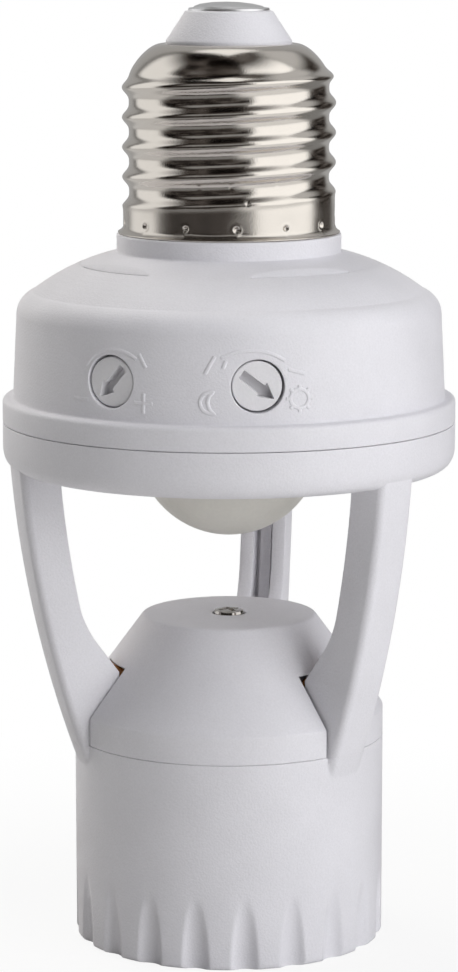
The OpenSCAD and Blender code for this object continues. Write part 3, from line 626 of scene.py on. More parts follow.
def cover_points(head, shell):
    """The section carried round, and lowered inside each crescent recess to a floor that falls outwards. A
    crescent's width over its span is half an ellipse, and its fall across the width is a share linear and a
    share to the fifth power. Two points close together in the section make its outer edge sharp."""
    line = cover_outline(head, shell)
    edge, low, high = 0.03, head.shoulder + 2, head.collar + 0.3
    outer, inner = head.recess_radius + edge, head.recess_radius - edge
    rows = np.where((line[:-1, 0] > inner) & (line[1:, 0] <= inner) & (line[1:, 1] > low))[0]
    if len(rows):
        a, b = line[rows[0]:rows[0] + 2]
        spots = [a + (b - a) * (a[0] - r) / (a[0] - b[0]) for r in (outer, inner)]
        line = np.insert(line, rows[0] + 1, np.array(spots), axis=0)
    r, a, z = revolve(line, 468)
    degrees = np.abs((np.degrees(a) - head.recess_turn + 180) % 360 - 180)
    off = (np.minimum(degrees, 180 - degrees) - head.recess_azimuth) / (head.recess_angle / 2)
    width = head.recess_width * np.sqrt(np.clip(1 - off ** 2, 1e-4, 1))
    fall = np.clip((r - head.recess_radius + width) / width, 0, 1)
    floor = z - head.recess_depth * width / head.recess_width * fall * (0.28 + 0.72 * fall ** 4)
    outside = (np.arange(len(line)) < len(line) * 0.6)[:, None]
    window = (np.abs(off) < 1) & (r < head.recess_radius) & (r > head.recess_radius - width)
    return around(r, a, np.where(window & outside & (z > low) & (z < high), floor, z))


def wall_radius(head, z):
    """Radius of the cover's drafted side at height z."""
    rise = (z - head.seam - head.step) / (head.shoulder - head.seam - head.step)
    return head.side_radius - head.side_draft * rise


def hole_cutter(head, dials, side):
    """A round cutter for a knob's hole, flared by a small radius where it leaves the wall. The flare
    follows the wall, which lies at x = sqrt(R^2 - y^2), with R its radius and y the distance across."""
    t = np.linspace(0, 2 * np.pi, 96, endpoint=False)
    steps = [(0, -6.0), (0, -0.1), (0.012, -0.055), (0.035, -0.02), (0.07, 0.0), (0.12, 0.02), (0.12, 2.0)]
    grow, lift = np.array(steps).T
    radius = dials.radius + dials.gap + grow[:, None] + 0 * t
    right, up = HOLE_PLAY[side]
    y, z = right + radius * np.cos(t), dials.height + up + radius * np.sin(t)
    x = np.sqrt(wall_radius(head, z) ** 2 - y ** 2) + lift[:, None]
    # The cutter's ends stand well inside and outside the wall
    x[0], x[-1] = 20.0, 30.0
    return solid("hole_cutter", turned(np.stack([x, y, z], -1), side * dials.azimuth))


class ADAPTER_OT_cover(bpy.types.Operator):
    """Builds the white cover of the head with its collar, neck, recesses and knob holes"""
    bl_idname = "adapter.cover"
    bl_label = "Head cover"

    def execute(self, context):
        head, shell, dials = sizes(context, "head", "shell", "dials")
        cover = solid("head_cover", cover_points(head, shell), True)
        combine(cover, [hole_cutter(head, dials, side) for side in (-1, 1)], "DIFFERENCE")
        finish_piece(context, cover, "root", ["upper_housing"], "moulded_polycarbonate", 32)
        return {"FINISHED"}


def sign_strokes():
    """Every raised sign as (side, closed, points): arc arrows, minus, plus, crescent moon and sun. The
    points are in mm to the right of and above the axis of the knob on that side."""
    moon_out = np.array([(-5.1, -0.62), (-6.14, -0.92), (-6.62, -1.9), (-6.14, -2.88), (-4.94, -3.26)])
    moon_in = np.array([(-4.94, -3.26), (-5.46, -2.75), (-5.74, -1.94), (-5.58, -1.17), (-5.1, -0.62)])
    moon = np.concatenate([smooth_path(moon_out, 24), smooth_path(moon_in, 24)[1:-1]])
    sun = np.array([4.97, -1.55])
    left_arc = smooth_path([(-3.65, 1.75), (-2.47, 3.02), (-1.23, 3.64), (0.19, 3.88), (1.56, 3.73),
                            (2.66, 3.34), (3.41, 2.89)], 32)
    right_arc = smooth_path([(-4.14, 3.3), (-2.69, 3.93), (-1.15, 4.13), (0.6, 4.07), (1.97, 3.65),
                             (3.26, 2.95)], 32)
    straight = [
        (-1, (3.75, 3.5), (4.62, 1.94)), (-1, (-5.3, -2.3), (-3.1, -2.3)), (-1, (3.25, -2.2), (5.5, -2.2)),
        (-1, (4.4, -1.05), (4.4, -3.4)), (1, (-4.94, 3.5), (-6.04, 1.5)), (1, (3.66, 1.9), (5.56, 1.35)),
        (1, (-3.99, 2.1), (-3.64, 3.0))]
    strokes = [(-1, False, left_arc), (1, False, right_arc), (1, True, moon),
               (1, True, sun + circle(1.1, 32))]
    strokes += [(side, False, np.array([start, end])) for side, start, end in straight]
    for turn in np.radians(np.arange(0, 360, 45)):
        way = np.array([math.cos(turn), math.sin(turn)])
        strokes.append((1, False, sun + np.outer([1.15, 1.6], way)))
    return strokes


def stroke_shell(line, closed, head, dials, azimuth):
    """A stroke as a low ridge laid on the wall: at each point of the line its section is half of a flattened
    ellipse, width by relief, that starts a little inside the wall. Open ends are cut straight."""
    line = refine(np.concatenate([line, line[:1]]) if closed else line, 0.15)
    line = line[:-1] if closed else line
    if closed:
        tangent = np.roll(line, -1, 0) - np.roll(line, 1, 0)
    else:
        tangent = np.gradient(line, axis=0)
    tangent /= np.linalg.norm(tangent, axis=1, keepdims=True)
    across = np.stack([tangent[:, 1], -tangent[:, 0]], 1)
    section = np.array([(-1, -0.6), (-1, 0.2), (-0.86, 0.62), (-0.6, 0.9), (-0.3, 1), (0.3, 1), (0.6, 0.9),
                        (0.86, 0.62), (1, 0.2), (1, -0.6)])
    spot = line[:, None] + across[:, None] * section[None, :, :1] * dials.stroke / 2
    u, v = spot[..., 0], dials.height + spot[..., 1]
    radius = wall_radius(head, v) + section[None, :, 1] * dials.relief
    a = math.radians(azimuth) + u / dials.face
    return closed_shell(around(radius, a, v), wrap_rows=closed)


class ADAPTER_OT_signs(bpy.types.Operator):
    """Builds the raised minus, plus, moon, sun and arc signs round the knobs"""
    bl_idname = "adapter.signs"
    bl_label = "Raised signs"

    def execute(self, context):
        head, dials = sizes(context, "head", "dials")
        parts = [stroke_shell(line, closed, head, dials, side * dials.azimuth)
                 for side, closed, line in sign_strokes()]
        signs = mesh_object("raised_signs", parts)
        finish_piece(context, signs, "root", [], "moulded_polycarbonate", 50)
        return {"FINISHED"}


# Knobs

def knob_points(dials, azimuth):
    """A knob's section carried round its own axis: rounded face, rim, collar behind the wall and hub."""
    face, collar, hub = dials.face, dials.radius + 0.65, 1.7
    line = soften([
        (face, 0), (face, dials.radius, 0.18), (face - 2.1, dials.radius), (face - 2.1, collar),
        (face - 2.9, collar), (face - 2.9, hub), (face - 4, hub), (face - 4, 0)], False)
    t = np.linspace(0, 2 * np.pi, 96, endpoint=False)
    x, radius = line[:, :1] + 0 * t, line[:, 1:]
    return turned(np.stack([x, radius * np.cos(t), dials.height + radius * np.sin(t)], -1), azimuth)


def rings(outline, levels):
    """An outline (across, up) as rings, drawn with +X outwards. Each level has how far the ring is grown away
    from the outline's middle, and its depth."""
    away = outline - outline.mean(0)
    away /= np.linalg.norm(away, axis=1, keepdims=True)
    return np.stack([np.column_stack([np.full(len(outline), depth), outline + away * grow])
                     for grow, depth in levels])


def spun(points, turn, height):
    """Points turned clockwise about the outward axis, as seen from outside, and lifted to height."""
    a = math.radians(turn)
    y, z = points[..., 1], points[..., 2]
    lifted = height + z * math.cos(a) - y * math.sin(a)
    return np.stack([points[..., 0], y * math.cos(a) + z * math.sin(a), lifted], -1)


def build_knob(context, name, node, body, side, turn):
    """A knob on its side of the front, with an arrow recess that points turn degrees clockwise from up, and
    the blade behind it that turns the trimmer."""
    dials = sizes(context, "dials")
    face, azimuth = dials.face, side * dials.azimuth
    knob = solid(name, knob_points(dials, azimuth))
    arrow = soften([
        (-0.58, -2.3, 0.12), (0.58, -2.3, 0.12), (0.58, 0.65, 0.05), (1.05, 0.65, 0.1), (0, 2.55, 0.12),
        (-1.05, 0.65, 0.1), (-0.58, 0.65, 0.05)], True, 4)
    recess = rings(arrow, [(0, face - 1.6), (0, face - 0.08), (0.05, face), (0.12, face + 0.06),
                           (0.12, face + 1)])
    slab = np.array([(-0.4, -1.4), (0.4, -1.4), (0.4, 1.4), (-0.4, 1.4)])
    blade = rings(slab, [(0, face - 5.1), (0, face - 3.9)])
    for points, operation in ((recess, "DIFFERENCE"), (blade, "UNION")):
        combine(knob, [solid("tool", turned(spun(points, turn, dials.height), azimuth))], operation)
    finish_piece(context, knob, body, [node], "moulded_knob_plastic", 30)


class ADAPTER_OT_knobs(bpy.types.Operator):
    """Builds the two setting knobs with their arrow recesses"""
    bl_idname = "adapter.knobs"
    bl_label = "Setting knobs"

    def execute(self, context):
        dials = sizes(context, "dials")
        build_knob(context, "time_setting_knob", "time_knob", "time_dial", -1, dials.left_turn)
        build_knob(context, "light_setting_knob", "lux_knob", "lux_dial", 1, dials.right_turn)
        return {"FINISHED"}


# Ring, arms and lamp holder

def arm_face(holder, arms, head, z):
    """Radius of an arm's outer face at height z: an arc from the foot to the ring, bowed outwards. Below
    the foot and above the ring it goes on along the same circle."""
    foot = np.array([holder.radius - 0.13, arms.foot - 0.35])
    top = np.array([head.ring_radius - 0.5, head.ring_height + 0.9])
    centre, radius = bowed_circle(foot, top, arms.bow)
    return centre[0] + np.sqrt(radius ** 2 - (z - centre[1]) ** 2)


def rounded_edge(lateral, half, edge):
    """How far the outer face falls at a distance from the arm's middle: a quarter circle at each edge."""
    over = np.clip(np.abs(lateral) - (half - edge), 0, edge)
    return edge - np.sqrt(np.maximum(edge ** 2 - over ** 2, 0))


def arm_points(holder, arms, head, cap, azimuth):
    """An arm as a loop of (radius, across) at each height. The loop runs over the rounded outer face, round
    the flanges and through the channel, whose floor is raised between two grooves. The inner edge is an arc
    under the head and a gusset below the knee, and the channel starts a little above the deck."""
    half, channel = arms.width / 2, arms.channel / 2
    ridge = channel - arms.groove
    cone_z = holder.height + cap.lip
    root_z = cone_z + (holder.radius - arms.root_radius) * cap.cone / (holder.radius - cap.top_radius)
    low, high = 24.4, head.ring_height + 1.6
    channel_foot = holder.deck_height + holder.deck_wall + 1.2
    breaks = [arms.knee, root_z, channel_foot, channel_foot + 0.01, holder.height, holder.height + 0.05]
    z = np.unique(np.concatenate([np.linspace(low, high, 110), breaks]))
    outer = arm_face(holder, arms, head, z) - np.where(z < holder.height + 0.02, 0.03, 0)
    upper_radius = head.ring_radius - 0.5 - arms.depth
    upper = arc([upper_radius, head.ring_height - 0.1], [holder.radius + 0.2, arms.knee], -0.35, 24)
    inner_line = np.concatenate([[[arms.root_radius, low], [arms.root_radius, root_z]], upper[::-1],
                                 [[upper_radius, high]]])
    reach = KNEE_ROUNDING * ramp(z, root_z, arms.knee)
    inner = np.mean([np.interp(z + share * reach, inner_line[:, 1], inner_line[:, 0])
                     for share in np.linspace(-1, 1, 9)], axis=0)
    web = np.where(z > channel_foot, outer - arms.web, inner + 0.03)
    floor = np.where(z > channel_foot, outer - arms.floor, inner + 0.015)
    across = half * np.sin(np.linspace(-1, 1, 33) * np.pi / 2)
    face = np.sqrt(np.maximum(outer[:, None] ** 2 - across ** 2, 0)) - rounded_edge(across, half, arms.edge)
    corner = [(0.25, 0), (0.075, 0.075), (0, 0.25)]
    right = [(inner + x, half - y) for x, y in corner] + [(inner + y, channel + x) for x, y in corner]
    right += [(web, channel), (web, ridge), (floor, ridge)]
    left = [(radius, -place) for radius, place in right[::-1]]
    loop = np.concatenate([np.stack([face, np.broadcast_to(across, face.shape)], -1)] + [
        np.stack([radius, np.full(len(z), place)], -1)[:, None] for radius, place in right + left], 1)
    heights = np.broadcast_to(z[:, None, None], (*loop.shape[:2], 1))
    return turned(np.concatenate([loop, heights], -1), azimuth)


def holder_points(holder, arms, head):
    """The holder's section carried round. On the outside the radius is the skirt, cut by round scoops that
    curve out to nothing at flute height, and raised at the arms' feet by the arms' own outer face."""
    skirt, mouth, floor = holder.radius, holder.mouth_radius, holder.mouth_height
    inner, tube = skirt - holder.skirt, holder.tube_bore + holder.tube_wall
    deck_top = holder.deck_height + holder.deck_wall
    outside = soften([(mouth, 0, 0), (skirt, 0, 0.65), (skirt, holder.height, 0.12), (inner, holder.height)],
                     False, 8)
    outside = np.concatenate([outside[:9], refine(outside[8:-8], 0.28)[1:], outside[-8:]])
    line = np.concatenate([outside, [
        (inner, floor), (tube, floor), (tube, deck_top), (0, deck_top), (0, holder.deck_height),
        (holder.tube_bore, holder.deck_height), (holder.tube_bore, floor), (mouth, floor), (mouth, 0.01)]])
    r, a, z = revolve(line, 560)
    scoop = (holder.flute_width ** 2 / 4 + holder.flute_depth ** 2) / (2 * holder.flute_depth)
    rise = holder.flute_depth * (np.maximum(z, 0) / holder.flute_height) ** 1.6
    centre = skirt - holder.flute_depth + scoop + rise
    step = 2 * np.pi / holder.flutes
    off = (a + step / 2) % step - step / 2
    room = np.maximum(scoop ** 2 - (centre * np.sin(off)) ** 2, 0)
    scooped = np.where(room > 0, centre * np.cos(off) - np.sqrt(room), skirt + 3)
    outer = (np.arange(len(line)) < len(outside) - 1)[:, None] & (r > mouth + 1)
    r = np.where(outer, np.minimum(r, soft_min(r, scooped, holder.flute_edge)), r)
    raised = arm_face(holder, arms, head, z)
    for azimuth in ARM_AZIMUTHS:
        turn = a - math.radians(azimuth)
        lateral = np.sin(turn) * skirt
        near = (np.cos(turn) > 0) & (np.abs(lateral) < arms.width / 2) & (z > arms.foot - 2)
        lifted = raised - rounded_edge(lateral, arms.width / 2, arms.edge)
        r = np.where(outer & near, soft_max(r, lifted, 0.06), r)
    return around(r, a, z)


def ring_points(head):
    """The ring's section carried round: floor with the dome's opening and seat, rounded edge, spigot."""
    low, floor, spigot_top = head.ring_height, head.ring_height + 2, head.seam + 2.4
    seam, spigot, inner = head.seam - SEAM_GAP, head.side_radius - 1.2, head.side_radius - 2.5
    opening, seat, rim = head.lens_radius + 0.2, head.lens_radius + 2.1, head.lens_radius + 2.9
    line = soften([
        (opening, low, 0.15), (head.ring_radius, low, head.ring_round), (head.ring_radius, seam, 0.16),
        (spigot, seam), (spigot, spigot_top), (inner, spigot_top), (inner, floor), (rim, floor),
        (rim, floor + 1), (seat, floor + 1), (seat, floor), (opening, floor)], True, 12)
    return around(*revolve(line, 360))


class ADAPTER_OT_arm_housing(bpy.types.Operator):
    """Builds the one moulding of ring, three channelled arms and fluted lamp holder"""
    bl_idname = "adapter.arm_housing"
    bl_label = "Ring, arms and lamp holder"

    def execute(self, context):
        holder, arms, head, cap = sizes(context, "holder", "arms", "head", "cap")
        ring = solid("ring_and_arms", ring_points(head), True)
        half = arms.channel / 2
        near = (arms.root_radius - 0.6, -half, head.ring_height - 1)
        far = (head.side_radius - 2.5, half, head.ring_height + 3)
        slots = [solid("slot", box_points(near, far, azimuth)) for azimuth in ARM_AZIMUTHS]
        legs = [solid("leg", arm_points(holder, arms, head, cap, azimuth)) for azimuth in ARM_AZIMUTHS]
        combine(ring, legs, "UNION")
        combine(ring, slots, "DIFFERENCE")
        finish_piece(context, ring, "root", ["lower_housing"], "moulded_polycarbonate", 32)
        body = solid("fluted_holder", holder_points(holder, arms, head), True)
        finish_piece(context, body, "root", ["lower_housing"], "moulded_polycarbonate", 40)
        return {"FINISHED"}


# Cap and screw

def cap_points(holder, cap):
    """The cone cap's section carried round, with a well for the screw, a boss under it and soft edges."""
    cone_z, seam = holder.height + cap.lip, holder.height + SEAM_GAP
    top = cone_z + cap.cone
    seat, under, boss_foot = top - SCREW_SINK, top - cap.wall, top - cap.wall - 2.55
    hole, well, boss, inner = 1.45, cap.screw_head + 0.14, 3.2, holder.radius - holder.skirt
    line = soften([
        (hole, seat), (well, seat), (well, top, 0.12), (cap.top_radius + 0.25, top, 0.7),
        (holder.radius, cone_z, 0.6), (holder.radius, seam, 0.12), (inner, seam), (inner, cone_z - 0.7),
        (cap.top_radius - 1, under), (boss, under), (boss, boss_foot), (hole, boss_foot)], True, 8)
    return around(*revolve(refine(np.concatenate([line, line[:1]]), 0.6)[:-1], 288))


def screw_points(cap, top, crown):
    """The screw's section carried round: shank, and a domed head that stands in the well up to its crown."""
    head, seat, foot, shank = cap.screw_head, top - SCREW_SINK, 30.2, 1.25
    line = soften([
        (0, foot), (shank, foot), (shank, seat), (head, seat), (head, top - 0.12),
        (head - 0.14, top + 0.36, 0.2), (head * 0.6, crown - 0.02, 0.5), (0, crown)], False, 10)
    return around(*revolve(line, 96))


def driver_points(top, crown, azimuth):
    """One blade of the cross recess, which tapers to its floor."""
    taper = [(0.8, 0.2, crown - 1.0), (1.6, 0.36, top + 0.8)]
    return turned(np.array([[(-x, -y, z), (x, -y, z), (x, y, z), (-x, y, z)] for x, y, z in taper]), azimuth)


class ADAPTER_OT_cap(bpy.types.Operator):
    """Builds the cone cap with its three notches and its cross recess screw"""
    bl_idname = "adapter.cap"
    bl_label = "Cone cap"

    def execute(self, context):
        holder, cap, arms = sizes(context, "holder", "cap", "arms")
        cone = solid("cone_cap", cap_points(holder, cap), True)
        half = arms.width / 2 + cap.notch_gap
        near, far = (cap.notch_radius, -half, holder.height - 1), (26, half, cap.notch_top)
        notches = [solid("notch", box_points(near, far, azimuth)) for azimuth in ARM_AZIMUTHS]
        combine(cone, notches, "DIFFERENCE")
        finish_piece(context, cone, "root", ["holder_cap"], "moulded_polycarbonate", 30)

        top = holder.height + cap.lip + cap.cone
        crown = top + 0.48
        screw = solid("cross_recess_screw", screw_points(cap, top, crown))
        combine(screw, [solid("driver", driver_points(top, crown, azimuth)) for azimuth in (38, 128)],
                "DIFFERENCE")
        finish_piece(context, screw, "root", ["cap_screw"], "plated_zinc", 30)
        return {"FINISHED"}


# Lens

def lens_points(head):
    """The dome and its flange: an arc of the outer radius from the pole, the flange, and an arc of the inner
    radius back, carried round."""
    floor_top, middle = head.ring_height + 2, head.lens_height
    outer, inner = head.lens_radius, head.lens_radius - head.lens_wall
    pole, end = -np.pi / 2, math.asin((floor_top - middle) / outer)
    curves = [np.stack([radius * np.cos(t), middle + radius * np.sin(t)], 1) for radius, t in (
        (outer, np.linspace(pole, end, 60)), (inner, np.linspace(end, pole, 40)))]
    flange = [(outer + 1.9, floor_top), (outer + 1.9, floor_top + 0.8), (inner, floor_top + 0.8)]
    r, a, z = revolve(np.concatenate([curves[0], flange, curves[1]]), 192)
    r[0] = r[-1] = 0
    return around(r, a, z)


class ADAPTER_OT_lens(bpy.types.Operator):
    """Builds the milky dome under the head"""
    bl_idname = "adapter.lens"
    bl_label = "Sensor lens"

    def execute(self, context):
        lens = solid("milky_dome", lens_points(sizes(context, "head")))
        finish_piece(context, lens, "root", ["sensor_lens"], "milky_polyethylene", 40)
        return {"FINISHED"}


# Threads

def shell_outline(shell):
    """Radius and height of the shell without its thread, from the foot up: plain sheet, then a crown, which
    is a cubic Bezier curve from upright to level, and a small turn down into the opening."""
    foot = shell.foot + np.concatenate([np.linspace(0, 0.3, 9), np.arange(0.36, 2.1, 0.12)])
    heights = np.concatenate([foot, np.arange(foot[-1] + 0.15, shell.top - 4.2, 0.21)])
    start, end = np.array([shell.root, shell.top - 4.1]), np.array([shell.opening + 0.45, shell.top + 0.05])
    t = np.linspace(0, 1, 34)[:, None]
    rise, run = start + (0, 1.13), end + (1.8, 0)
    crown = (1 - t) ** 3 * start + 3 * (1 - t) ** 2 * t * rise + 3 * (1 - t) * t ** 2 * run + t ** 3 * end
    edge = [(shell.opening + 0.2, shell.top + 0.03), (shell.opening + 0.05, shell.top - 0.05),
            (shell.opening, shell.top - 0.2)]
    return np.concatenate([np.stack([np.full(len(heights), shell.root), heights], 1), crown, edge])


def thread_height(shell, a, z):
    """Height of the rolled thread over its root: a wave with narrow crests, ((1 + cos) / 2) ** 1.7, that
    climbs one pitch a turn, right-handed, and fades out under the crown."""
    phase = 2 * np.pi * (z - shell.front_crest) / shell.pitch - a
    wave = ((1 + np.cos(phase)) / 2) ** 1.7
    return (shell.crest - shell.root) * wave * (1 - ramp(z, shell.top - 4.4, shell.top - 2.6))


def skirt_radius(shell, a, z):
    """Radius of the plain skirt under the lowest crest, and how much of it shows: all below that crest, which
    climbs round the shell and falls back by one pitch behind."""
    edge = shell.front_crest + 0.2 + shell.pitch * (a / (2 * np.pi) - 2 - ramp(a, 2.0, np.pi))
    below = edge - z
    soft = 0.06 + 0.7 * ramp(a, 1.8, 2.4)
    swell = (shell.crest - shell.skirt) * np.exp(-(np.maximum(below, 0) / 0.45) ** 2)
    return shell.skirt + swell, ramp(below, -soft, soft)


def shell_points(shell):
    """The shell's outside carried round with its thread and skirt, then the inside one sheet in. The foot
    flares out over the collar to an edge rounded by a quarter circle, and climbs to each stake, which is a
    round pit with a raised rim."""
    r, a, z = revolve(shell_outline(shell), 528)
    a = a - np.pi
    threaded = r + thread_height(shell, a, z)
    skirt, share = skirt_radius(shell, a, z)
    r = threaded + (skirt - threaded) * share
    step = 2 * np.pi / SHELL_STAKES
    off = ((a - math.radians(STAKE_AZIMUTH) + step / 2) % step - step / 2) * shell.skirt
    away = np.hypot(off, z - shell.foot - 1.45)
    pit = 0.24 * (1 - ramp(away, 0.12, 0.42)) + 0.05 * np.exp(-(away / 1.1) ** 2)
    rim = 0.05 * np.exp(-((away - 0.52) / 0.14) ** 2)
    bead = 0.2
    climb = 0.75 + 0.4 * np.exp(-np.abs(off) / 0.8)
    flare = 0.66 * (1 - np.clip((z - shell.foot - bead) / climb, 0, 1)) ** 2.2
    under = np.clip((shell.foot + bead - z) / bead, 0, 1)
    r = r - pit + rim + flare - bead * (1 - np.sqrt(1 - under ** 2))
    for azimuth, height in SHELL_PITS:
        away = np.hypot((a - math.radians(azimuth)) * shell.crest, z - height)
        r = r - 0.07 * np.exp(-(away / 0.2) ** 2)
    outside = around(r, a, z)
    inside = outside[::-3]
    radius = np.hypot(inside[..., 0], inside[..., 1])[..., None]
    scale = (radius - shell.sheet * 0.9) / radius
    inside = np.concatenate([inside[..., :2] * scale, inside[..., 2:]], -1)
    inside[0, :, 2] -= shell.sheet
    return np.concatenate([outside, inside])


def contact_points(radius, tip):
    """The solder contact's section carried round: rivet, rim and low dome. The dome leans over to the left,
    by an S-shaped step over its height, as the solder set."""
    rivet, foot = 1.5, 2.3
    line = soften([
        (0, tip - 4.4), (foot, tip - 4.4), (foot, tip - 3.85), (rivet, tip - 3.85), (rivet, tip - 0.02),
        (radius, tip - 0.02), (radius, tip + 0.3, 0.2), (radius - 0.4, tip + 0.3, 0.08),
        (radius - 0.45, tip + 0.2), (radius * 0.84, tip + 0.5, 0.6), (radius * 0.66, tip + 0.76, 1.5),
        (radius * 0.35, tip + 0.96, 2.0), (0, tip + 1.04)], False, 8)
    r, a, z = revolve(refine(line, 0.35), 96)
    points = around(r, a, z)
    points[..., 0] -= 0.4 * ramp(z, tip + 0.25, tip + 1.0)
    return points


class ADAPTER_OT_shell(bpy.types.Operator):
    """Builds the rolled and plated shell with its thread and stakes, and the centre contact"""
    bl_idname = "adapter.shell"
    bl_label = "Threaded shell"

    def execute(self, context):
        shell, head = sizes(context, "shell", "head")
        rolled = solid("rolled_shell", shell_points(shell), True)
        finish_piece(context, rolled, "root", ["screw_shell"], "plated_nickel", 60)
        dull_skirt(rolled.data.materials[0], shell)
        contact = solid("solder_contact", contact_points(shell.contact, head.tip_height))
        finish_piece(context, contact, "root", ["centre_contact"], "solder_tin", 50)
        return {"FINISHED"}


def sleeve_points(holder, shell, low, high):
    """The sleeve's wall carried round, outside and back inside: plain at both ends, and between them a cosine
    wave that climbs one pitch a turn."""
    plain, half_wall = holder.tube_bore - 0.15, 0.165
    heights = np.arange(low, high, 0.17)
    _, a, z = revolve(np.stack([np.full(len(heights), plain), heights], 1), 240)
    phase = 2 * np.pi * z / shell.pitch - (a - np.pi / 2)
    middle = shell.crest - 0.2
    wave = middle + 0.175 + 0.47 * np.cos(phase)
    share = ramp(z, low + 0.8, low + 2.0) * (1 - ramp(z, high - 1.9, high - 0.7))
    outer = plain - 0.175 + (wave - plain + 0.175) * share
    return np.concatenate([around(outer + half_wall, a, z), around(outer - half_wall, a, z)[::-1]])


class ADAPTER_OT_sleeve(bpy.types.Operator):
    """Builds the threaded sleeve inside the lamp holder, with its solder tab"""
    bl_idname = "adapter.sleeve"
    bl_label = "Threaded sleeve"

    def execute(self, context):
        holder, shell = sizes(context, "holder", "shell")
        low, high = holder.mouth_height, holder.deck_height - 2.9
        plain, tab_top = holder.tube_bore - 0.15, holder.deck_height + holder.deck_wall + 1.7
        tab = box_points((plain - 0.36, -1.9, high - 0.9), (plain - 0.04, 1.9, tab_top), TAB_AZIMUTH)
        wall = closed_shell(sleeve_points(holder, shell, low, high), wrap_rows=True)
        sleeve = mesh_object("rolled_sleeve", [wall, closed_shell(tab)])
        finish_piece(context, sleeve, "root", ["threaded_sleeve"], "rolled_brass", 50)
        return {"FINISHED"}


# Leads and inner pieces

def arm_lead(holder, arms, head, azimuth, ends):
    """A lead's path: from the board down the arm's channel, forwards and in through the cap's notch, and then
    over the deck to its terminal."""
    deck_top = holder.deck_height + holder.deck_wall
    z = np.linspace(55, 37, 8)
    radius = arm_face(holder, arms, head, z) - arms.floor - 0.8
    board_edge, board, above_ring = head.side_radius - 2.8 - 1.6, 67.4, 61.3
    # radius from the axis, distance forwards and height where the lead turns in through the notch
    turn_in = np.array([(16.3, 0, 35.2), (15.4, 0.3, 34.45), (14.6, 1.4, 34.0), (14.3, 1.8, 33.3),
                        (14.2, 1.0, 32.2), (13.3, 0, deck_top + 2.1)])
    r = np.concatenate([[board_edge, board_edge], radius, turn_in[:, 0]])
    z = np.concatenate([[board, above_ring], z, turn_in[:, 2]])
    forwards = np.concatenate([np.zeros(len(r) - len(turn_in)), turn_in[:, 1]])
    turn = math.radians(azimuth) - math.copysign(1, azimuth) * forwards / r
    return np.concatenate([around(r, turn, z), np.array(ends, float)])


class ADAPTER_OT_leads(bpy.types.Operator):
    """Builds the two insulated leads in the arms"""
    bl_idname = "adapter.leads"
    bl_label = "Leads"

    def execute(self, context):
        holder, arms, head = sizes(context, "holder", "arms", "head")
        deck_top, tab = holder.deck_height + holder.deck_wall, np.array(math.radians(TAB_AZIMUTH))
        ends = {
            "neutral": [around(np.array(holder.tube_bore - gap), tab, np.array(deck_top + up))
                        for gap, up in ((2.4, 1.6), (0.8, 1.4))],
            "load": [(7, 0, deck_top + 2), (7, 0, deck_top + 0.6)]}
        for name, azimuth in (("neutral", ARM_AZIMUTHS[0]), ("load", ARM_AZIMUTHS[1])):
            path = smooth_path(arm_lead(holder, arms, head, azimuth, ends[name]), 120)
            side = turned(np.array([0.02, 1.0, 0.01]), azimuth)
            tube = solid(name + "_wire", sweep(path, circle(0.74, 20), side))
            finish_piece(context, tube, "root", [name + "_lead"], "lead_insulation", 50)
        return {"FINISHED"}


class ADAPTER_OT_inner(bpy.types.Operator):
    """Gives the board, its components and the contacts inside their own finishes"""
    bl_idname = "adapter.inner"
    bl_label = "Inner pieces"

    def execute(self, context):
        for node, finish in NODE_FINISHES.items():
            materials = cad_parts[node].data.materials
            materials.clear()
            materials.append(finish_material(context, finish))
        return {"FINISHED"}


# Stage

# Each light has the setting that gives its power and its share of it, its size in metres, its azimuth from
# the camera's and its elevation in degrees, and its colour.
LIGHTS = {
    "key_high": ("key", 0.46, 1.0, 57, 25, "#FCFCFF"),
    "key_low": ("key", 0.55, 0.8, 45, 10, "#FFFFFF"),
    "back_high": ("back", 0.52, 0.6, -135, 55, "#FFFCF6"),
    "back_low": ("back", 0.48, 0.5, -140, 10, "#FFFCF6"),
    "top": ("top", 1.0, 1.0, 0, 88, "#FFFFFF"),
    "front_high": ("front", 1.0, 0.8, 22, 44, "#FFFFFF"),
}
# How far the lights stand from the part, and the height that they face, in metres
LIGHT_DISTANCE = 0.9
LIGHT_AIM = 0.07


def studio_lights(context, stage):
    """Square soft lights on a sphere round the part, facing it. Their own reflections are left to the
    studio's panels."""
    for name, (setting, share, size, turn, rise, code) in LIGHTS.items():
        data = bpy.data.lights.new(name, "AREA")
        data.energy, data.size, data.color = getattr(stage, setting) * share, size, linear(code)
        obj = bpy.data.objects.new(name, data)
        context.scene.collection.objects.link(obj)
        a, e = math.radians(stage.azimuth + turn), math.radians(rise)
        out, up = LIGHT_DISTANCE * math.cos(e), LIGHT_DISTANCE * math.sin(e)
        obj.location = (out * math.sin(a), -out * math.cos(a), LIGHT_AIM + up)
        obj.rotation_euler = (math.pi / 2 - e, 0, a)
        obj.visible_glossy = False


# What metal sees of the studio. Each panel has its azimuth from, to and softness, from the camera's side
# round by its right, its elevation from, to and softness, all in degrees, and its strength.
STUDIO_PANELS = (
    ((27, 104, 6), (-20, 62, 14), 1.34),
    ((12, 108, 15), (-75, -8, 15), 0.9),
    ((104, 150, 8), (34, 68, 8), 0.6),
    ((147, 221, 9), (-60, 74, 10), 0.42),
    ((147, 223, 8), (60, 100, 5), 1.15),
    ((226, 276, 7), (-18, 52, 12), 0.98),
    ((208, 284, 12), (-52, -8, 12), 0.65),
    ((-40, 400, 8), (-46, -15, 8), 0.25),
    ((300, 400, 10), (24, 50, 7), 0.3),
    ((-40, 30, 6), (24, 50, 7), 0.3),
)
# The dark room between the panels: its least and greatest strength, and its colour
STUDIO_DARK = (0.002, 0.14)
STUDIO_DARK_COLOUR = "#FFE6D6"


